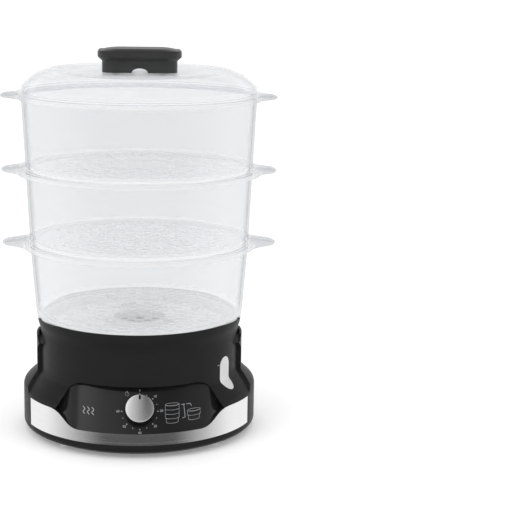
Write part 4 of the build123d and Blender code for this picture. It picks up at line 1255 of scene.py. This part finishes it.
class Marks:
    """Flat printed marks, gathered as (u, v) points in millimetres and their faces."""

    def __init__(self) -> None:
        """Starts with nothing printed."""
        self.points: list[Array] = []
        self.faces: list[list[int]] = []
        self.count = 0

    def add(self, points: Array, faces: Array) -> None:
        """Adds faces, each turned so that its corners run anticlockwise."""
        x, y = points[faces][..., 0], points[faces][..., 1]
        area = (x * np.roll(y, -1, 1) - y * np.roll(x, -1, 1)).sum(1)
        turned = np.where(area[:, None] < 0, faces[:, ::-1], faces)
        self.points.append(points)
        self.faces += (turned + self.count).tolist()
        self.count += len(points)

    def stroke(self, line: Array, width: float, closed: bool = False) -> None:
        """A line of even width: the path shifted half the width to each side."""
        path = np.concatenate([line[-1:], line, line[:2]]) if closed else line
        pair = np.stack([shifted_path(path, -width / 2), shifted_path(path, width / 2)], 1)
        pair = pair[1:-1] if closed else pair
        self.add(pair.reshape(-1, 2), grid_faces(len(pair), 2))

    def disc(self, radius: float, middle: Array) -> None:
        """A filled dot, as one ring round its middle."""
        sides = 16
        index = np.arange(sides)
        faces = np.stack([np.full(sides, sides), index, (index + 1) % sides], 1)
        self.add(np.concatenate([ring_outline(radius, sides) + middle, middle[None]]), faces)

    def number(self, value: int, height: float, middle: Array) -> None:
        """A plain number centred on middle."""
        curve = bpy.data.curves.new("number", "FONT")
        curve.body = str(value)
        curve.size = height / DIGIT_SHARE
        curve.align_x, curve.align_y = "CENTER", "CENTER"
        text = add_object("number", curve)
        graph = bpy.context.evaluated_depsgraph_get()
        mesh = bpy.data.meshes.new_from_object(text.evaluated_get(graph))
        mesh.calc_loop_triangles()
        faces = read_rows(mesh.loop_triangles, "vertices", 3, np.int32)
        self.add(read_rows(mesh.vertices, "co", 3)[:, :2] + middle, faces)
        bpy.data.objects.remove(text)
        bpy.data.curves.remove(curve)
        bpy.data.meshes.remove(mesh)

    def piece(self, name: str, wrap: Callable[[Array], Array]) -> Piece:
        """Makes the object, with its flat points carried to their places by wrap."""
        mesh = bpy.data.meshes.new(name)
        mesh.from_pydata((wrap(np.concatenate(self.points)) * MM).tolist(), [], self.faces)
        return add_object(name, mesh)


@dataclass(frozen=True)
class PrintedDial:
    """Time scale round the knob, a clock sign, and plain line drawings of the stack and of steam."""

    place: DialPlace = DialPlace()
    dot_circle: float = 18.6
    number_circle: float = 22.2
    number_height: float = 2.5
    minutes: int = 60
    degrees_per_minute: float = 4.5
    dot_radii: tuple[float, float] = (0.62, 0.46)
    line: float = 0.26
    bracket_line: float = 0.45
    steam_line: float = 0.7
    tier_height: float = 4.6
    base_share: float = 0.86
    ink: float = 0.08

    def add_scale(self, marks: Marks) -> None:
        """Dots at every five minutes, larger at every ten, which carry their number."""
        for minute in range(0, self.minutes + 1, 5):
            turn = np.radians(minute * self.degrees_per_minute)
            way = np.array([np.sin(turn), np.cos(turn)])
            marks.disc(self.dot_radii[minute % 10 != 0], way * self.dot_circle)
            if minute % 10 == 0:
                marks.number(minute, self.number_height, way * self.number_circle)

    def add_clock(self, marks: Marks, middle: Array) -> None:
        """A stopwatch: ring, crown and hand."""
        marks.stroke(ring_outline(2.0, 24) + middle, self.line, closed=True)
        marks.stroke(np.array([[0.0, 2.0], [0.0, 3.1]]) + middle, 1.0)
        marks.stroke(np.array([[0.0, 0.0], [0.9, 0.9]]) + middle, self.line)

    def add_stack(self, marks: Marks, middle: Array, width: float, tiers: int) -> None:
        """A stack in outline: base, that many bowls and a lid, seen from a little above."""
        arc = np.linspace(np.pi, 2 * np.pi, 17)
        half, level = width / 2, self.tier_height
        for tier in range(tiers + 1):
            reach = half * (self.base_share if tier == 0 else 1.0)
            sag = np.stack([reach * np.cos(arc), 1.3 * np.sin(arc) + level * tier], 1)
            marks.stroke(sag + middle, self.line)
            for side in (-0.98, 0.98) if tier < tiers else ():
                run = np.array([[side * reach, level * tier], [side * reach, level * (tier + 1)]])
                marks.stroke(run + middle, self.line)
        ring = ring_outline(1.0, 32) * [half, 1.5] + [0, level * tiers]
        marks.stroke(ring + middle, self.line, closed=True)

    def add_steam(self, marks: Marks, middle: Array) -> None:
        """Three rising waves: sideways distance is the sine of the height."""
        rise = np.linspace(-4.0, 4.0, 21)
        for offset in (-5.0, 0.0, 5.0):
            wave = np.stack([offset + 1.1 * np.sin(rise * 1.1), rise], 1)
            marks.stroke(wave + middle, self.steam_line)

    def build(self, wardrobe: Wardrobe) -> Piece:
        """Prints everything on the panel."""
        marks = Marks()
        self.add_scale(marks)
        self.add_clock(marks, np.array([-13.0, 18.5]))
        self.add_stack(marks, np.array([33.5, -12.4]), 15.0, 4)
        self.add_stack(marks, np.array([57.5, -11.4]), 15.0, 2)
        for bend in ([[43.0, 4.9], [53.5, 4.9], [54.6, 2.2]], [[46.0, 4.9], [47.5, -8.7], [44.5, -9.5]]):
            marks.stroke(np.array(bend), self.bracket_line)
        self.add_steam(marks, np.array([-54.0, -2.0]))
        piece = marks.piece("dial_print", lambda flat: self.place.on_panel(flat, self.ink))
        wardrobe.dress(piece, Slot.GLOSS_BLACK, PRINT)
        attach(piece, "base")
        return piece


@dataclass(frozen=True)
class WindowTick:
    """Short printed line that marks the highest water level beside the window."""

    radius: float = 105.7
    height: float = 82.0
    angle: float = 51.0
    length: float = 3.0
    line: float = 0.7
    ink: float = 0.06

    def build(self, wardrobe: Wardrobe) -> Piece:
        """Prints the line on the neck: u is carried round the radius, v straight up."""
        marks = Marks()
        marks.stroke(np.array([[-self.length / 2, 0.0], [self.length / 2, 0.0]]), self.line)

        def wrap(flat: Array) -> Array:
            """Places flat points on the neck's cylinder."""
            turn = np.radians(self.angle) + flat[:, 0] / self.radius
            out = self.radius + self.ink
            return np.stack([out * np.sin(turn), -out * np.cos(turn), self.height + flat[:, 1]], 1)

        piece = marks.piece("level_tick", wrap)
        wardrobe.dress(piece, Slot.BLACK_HOUSING, PRINT)
        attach(piece, "base")
        return piece


@dataclass(frozen=True)
class Softbox:
    """Square soft lamp, at a place in metres, aimed at the middle of the stack."""

    name: str
    place: Color
    size: float
    power: float
    target: Color = (0.0, 0.0, 0.2)

    def build(self) -> None:
        """Makes the lamp."""
        data = bpy.data.lights.new(self.name, "AREA")
        data.shape = "SQUARE"
        data.size = self.size
        data.energy = self.power
        lamp = add_object(self.name, data)
        aim = (Vector(self.target) - Vector(self.place)).to_track_quat("-Z", "Y")
        lamp.matrix_world = Matrix.Translation(self.place) @ aim.to_matrix().to_4x4()
        lamp.visible_glossy = False


@dataclass(frozen=True)
class Studio:
    """Camera, pale floor, white surround and soft lamps."""

    eye: Color = (0.0, -1.55, 0.508)
    pitch: float = 11.77
    swing: float = 4.51
    lens: float = 103.6
    daylight: float = 0.82
    flag_left: tuple[float, float] = (-104.0, -37.0)
    flag_right: tuple[float, float] = (100.0, 35.0)
    flag_tone: float = 0.06
    flag_gap: tuple[float, float] = (0.05, 0.15)
    roof_left: tuple[float, float, float] = (30.0, -45.0, 0.5)
    roof_right: tuple[float, float, float] = (40.0, 70.0, 0.2)
    roof_tone: float = 0.1
    patch: tuple[float, float, float] = (-70.0, -66.0, -38.0)
    patch_tone: float = 0.45
    beyond_patch: float = -0.22
    roof_edge: tuple[float, float] = (0.35, 0.5)
    floor_tone: float = 0.9
    floor_glow: tuple[float, float] = (0.2, 0.12)
    glow_reach: tuple[float, float] = (0.5, 4.0)
    lamps: tuple[Softbox, ...] = (
        Softbox("key_softbox", (-1.5, -1.5, 2.1), 1.5, 13.0),
        Softbox("fill_softbox", (1.8, -0.9, 1.5), 1.5, 5.0),
        Softbox("top_softbox", (0.0, 0.6, 2.4), 1.4, 8.0),
    )

    def build(self) -> None:
        """Sets up everything round the object."""
        bpy.context.scene.view_settings.view_transform = "Standard"
        bpy.context.scene.cycles.transparent_max_bounces = 32
        self.add_camera()
        self.add_floor()
        self.add_world()
        for lamp in self.lamps:
            lamp.build()

    def add_camera(self) -> None:
        """Camera pitched down at the stack's axis and then swung aside about its own upright axis."""
        data = bpy.data.cameras.new("camera")
        data.lens = self.lens
        data.sensor_width = 36.0
        camera = add_object("camera", data)
        level, aside = np.radians(self.pitch), np.radians(self.swing)
        ahead = np.array([0.0, np.cos(level), -np.sin(level)])
        up = np.array([0.0, np.sin(level), np.cos(level)])
        right = np.array([1.0, 0.0, 0.0])
        turned = np.cos(aside) * ahead + np.sin(aside) * right
        across = np.cos(aside) * right - np.sin(aside) * ahead
        matrix = np.eye(4)
        matrix[:3, 0], matrix[:3, 1], matrix[:3, 2], matrix[:3, 3] = across, up, -turned, self.eye
        camera.matrix_world = Matrix(matrix.tolist())
        bpy.context.scene.camera = camera

    def add_floor(self) -> None:
        """Pale floor with the soft shadow; a glow for the camera alone lifts it to white further out."""
        surface = Surface()
        side = np.linspace(-20000.0, 20000.0, 3)
        x, y = np.meshgrid(side, side, indexing="ij")
        surface.add_grid(np.stack([x, y, np.zeros_like(x)], 2))
        floor = surface.piece("studio_floor")
        floor.visible_glossy = False
        shader = Shader("studio_floor")
        body = shader.add("ShaderNodeBsdfDiffuse", Color=(*[self.floor_tone] * 3, 1.0))
        seen = shader.add("ShaderNodeLightPath").outputs["Is Camera Ray"]
        away = shader.add("ShaderNodeVectorMath", {"operation": "LENGTH"}, Vector=shader.place)
        far = shader.smooth(away.outputs["Value"], *self.glow_reach)
        near_and_far = shader.maths("MULTIPLY_ADD", far, self.floor_glow[1], self.floor_glow[0])
        glow = shader.add("ShaderNodeEmission", Strength=shader.maths("MULTIPLY", seen, near_and_far))
        both = shader.add("ShaderNodeAddShader")
        shader.feed(both.inputs, (body.outputs["BSDF"], glow.outputs["Emission"]))
        floor.data.materials.append(shader.finish(both.outputs["Shader"]))

    def add_world(self) -> None:
        """White surround, gentler as a light, with a dark flag and a dim roof for what mirrors it.

        The flag covers the front up to just below eye level. The roof brightens towards both sides and
        has one bright patch at the left.
        """
        world = bpy.data.worlds.new("studio")
        graph = NodeGraph(world)
        way = graph.add("ShaderNodeTexCoord").outputs["Generated"]
        x, y, z = graph.add("ShaderNodeSeparateXYZ", Vector=way).outputs
        turn = graph.maths("DEGREES", graph.maths("ARCTAN2", x, graph.maths("MULTIPLY", y, -1.0)))
        flag = graph.maths("MULTIPLY", graph.ramp(turn, *self.flag_left), graph.ramp(turn, *self.flag_right))
        flag = graph.maths("MULTIPLY", flag, graph.smooth(z, -self.flag_gap[0], -self.flag_gap[1]))
        walls = graph.maths("MULTIPLY_ADD", flag, self.flag_tone - 1.0, 1.0)
        roof = self.roof_tone
        for start, end, rise in (self.roof_left, self.roof_right):
            roof = graph.maths("MULTIPLY_ADD", graph.ramp(turn, start, end), rise, roof)
        start, edge, end = self.patch
        patch = graph.maths("MULTIPLY", graph.smooth(turn, start, edge), graph.smooth(turn, end, edge))
        roof = graph.maths("MULTIPLY_ADD", patch, self.patch_tone, roof)
        outside = graph.smooth(turn, edge, start)
        roof = graph.maths("MULTIPLY_ADD", outside, self.beyond_patch, roof)
        above = graph.smooth(z, *self.roof_edge)
        mirrored = graph.maths("MULTIPLY_ADD", above, graph.maths("SUBTRACT", roof, walls), walls)
        path = graph.add("ShaderNodeLightPath").outputs
        seen = graph.maths("MAXIMUM", path["Is Camera Ray"], path["Is Transmission Ray"])
        light, mirror, white = (
            graph.add("ShaderNodeBackground", Color=WHITE, Strength=strength).outputs["Background"]
            for strength in (self.daylight, mirrored, 1.0)
        )
        lit = graph.mix(path["Is Glossy Ray"], light, mirror)
        graph.add("ShaderNodeOutputWorld", Surface=graph.mix(seen, lit, white))
        bpy.context.scene.world = world


# ---------------------------------------------------------------------------- whole object


def node_slots(frame: dict) -> dict[str, Slot]:
    """Which slot each CAD node was packed with."""
    nodes = frame["nodes"].items()
    return {name: Slot(node.data.materials[0].name.split(".")[0]) for name, node in nodes}


def main() -> None:
    """Builds the steamer's looks round its frame, sub-assembly by sub-assembly."""
    logging.basicConfig(level=logging.INFO, format="%(name)s: %(message)s")
    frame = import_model()
    wardrobe = Wardrobe()
    for node, slot in node_slots(frame).items():
        wardrobe.dress_node(frame, node, slot)
    bowls = [
        SteamBowl("lower_bowl_shell", "bowl_1", "lower_bowl", 125.8, 109.8, 115.9, 123.4, 102.6),
        SteamBowl("middle_bowl_shell", "bowl_2", "middle_bowl", 203.55, 115.8, 119.4, 128.6, 113.1),
        SteamBowl("upper_bowl_shell", "bowl_3", "upper_bowl", 281.3, 119.3, 123.3, 128.0, 116.77),
    ]
    pieces = [part.build(wardrobe) for part in (*bowls, DomedLid(), CappedHandle())]
    pieces += TimerKnob().build(wardrobe)
    pieces += [part.build(wardrobe) for part in (PrintedDial(), WindowTick())]
    for piece in pieces:
        LOG.info("%s: %d faces", piece.name, len(piece.data.polygons))
    Studio().build()


if __name__ == "__main__":
    main()
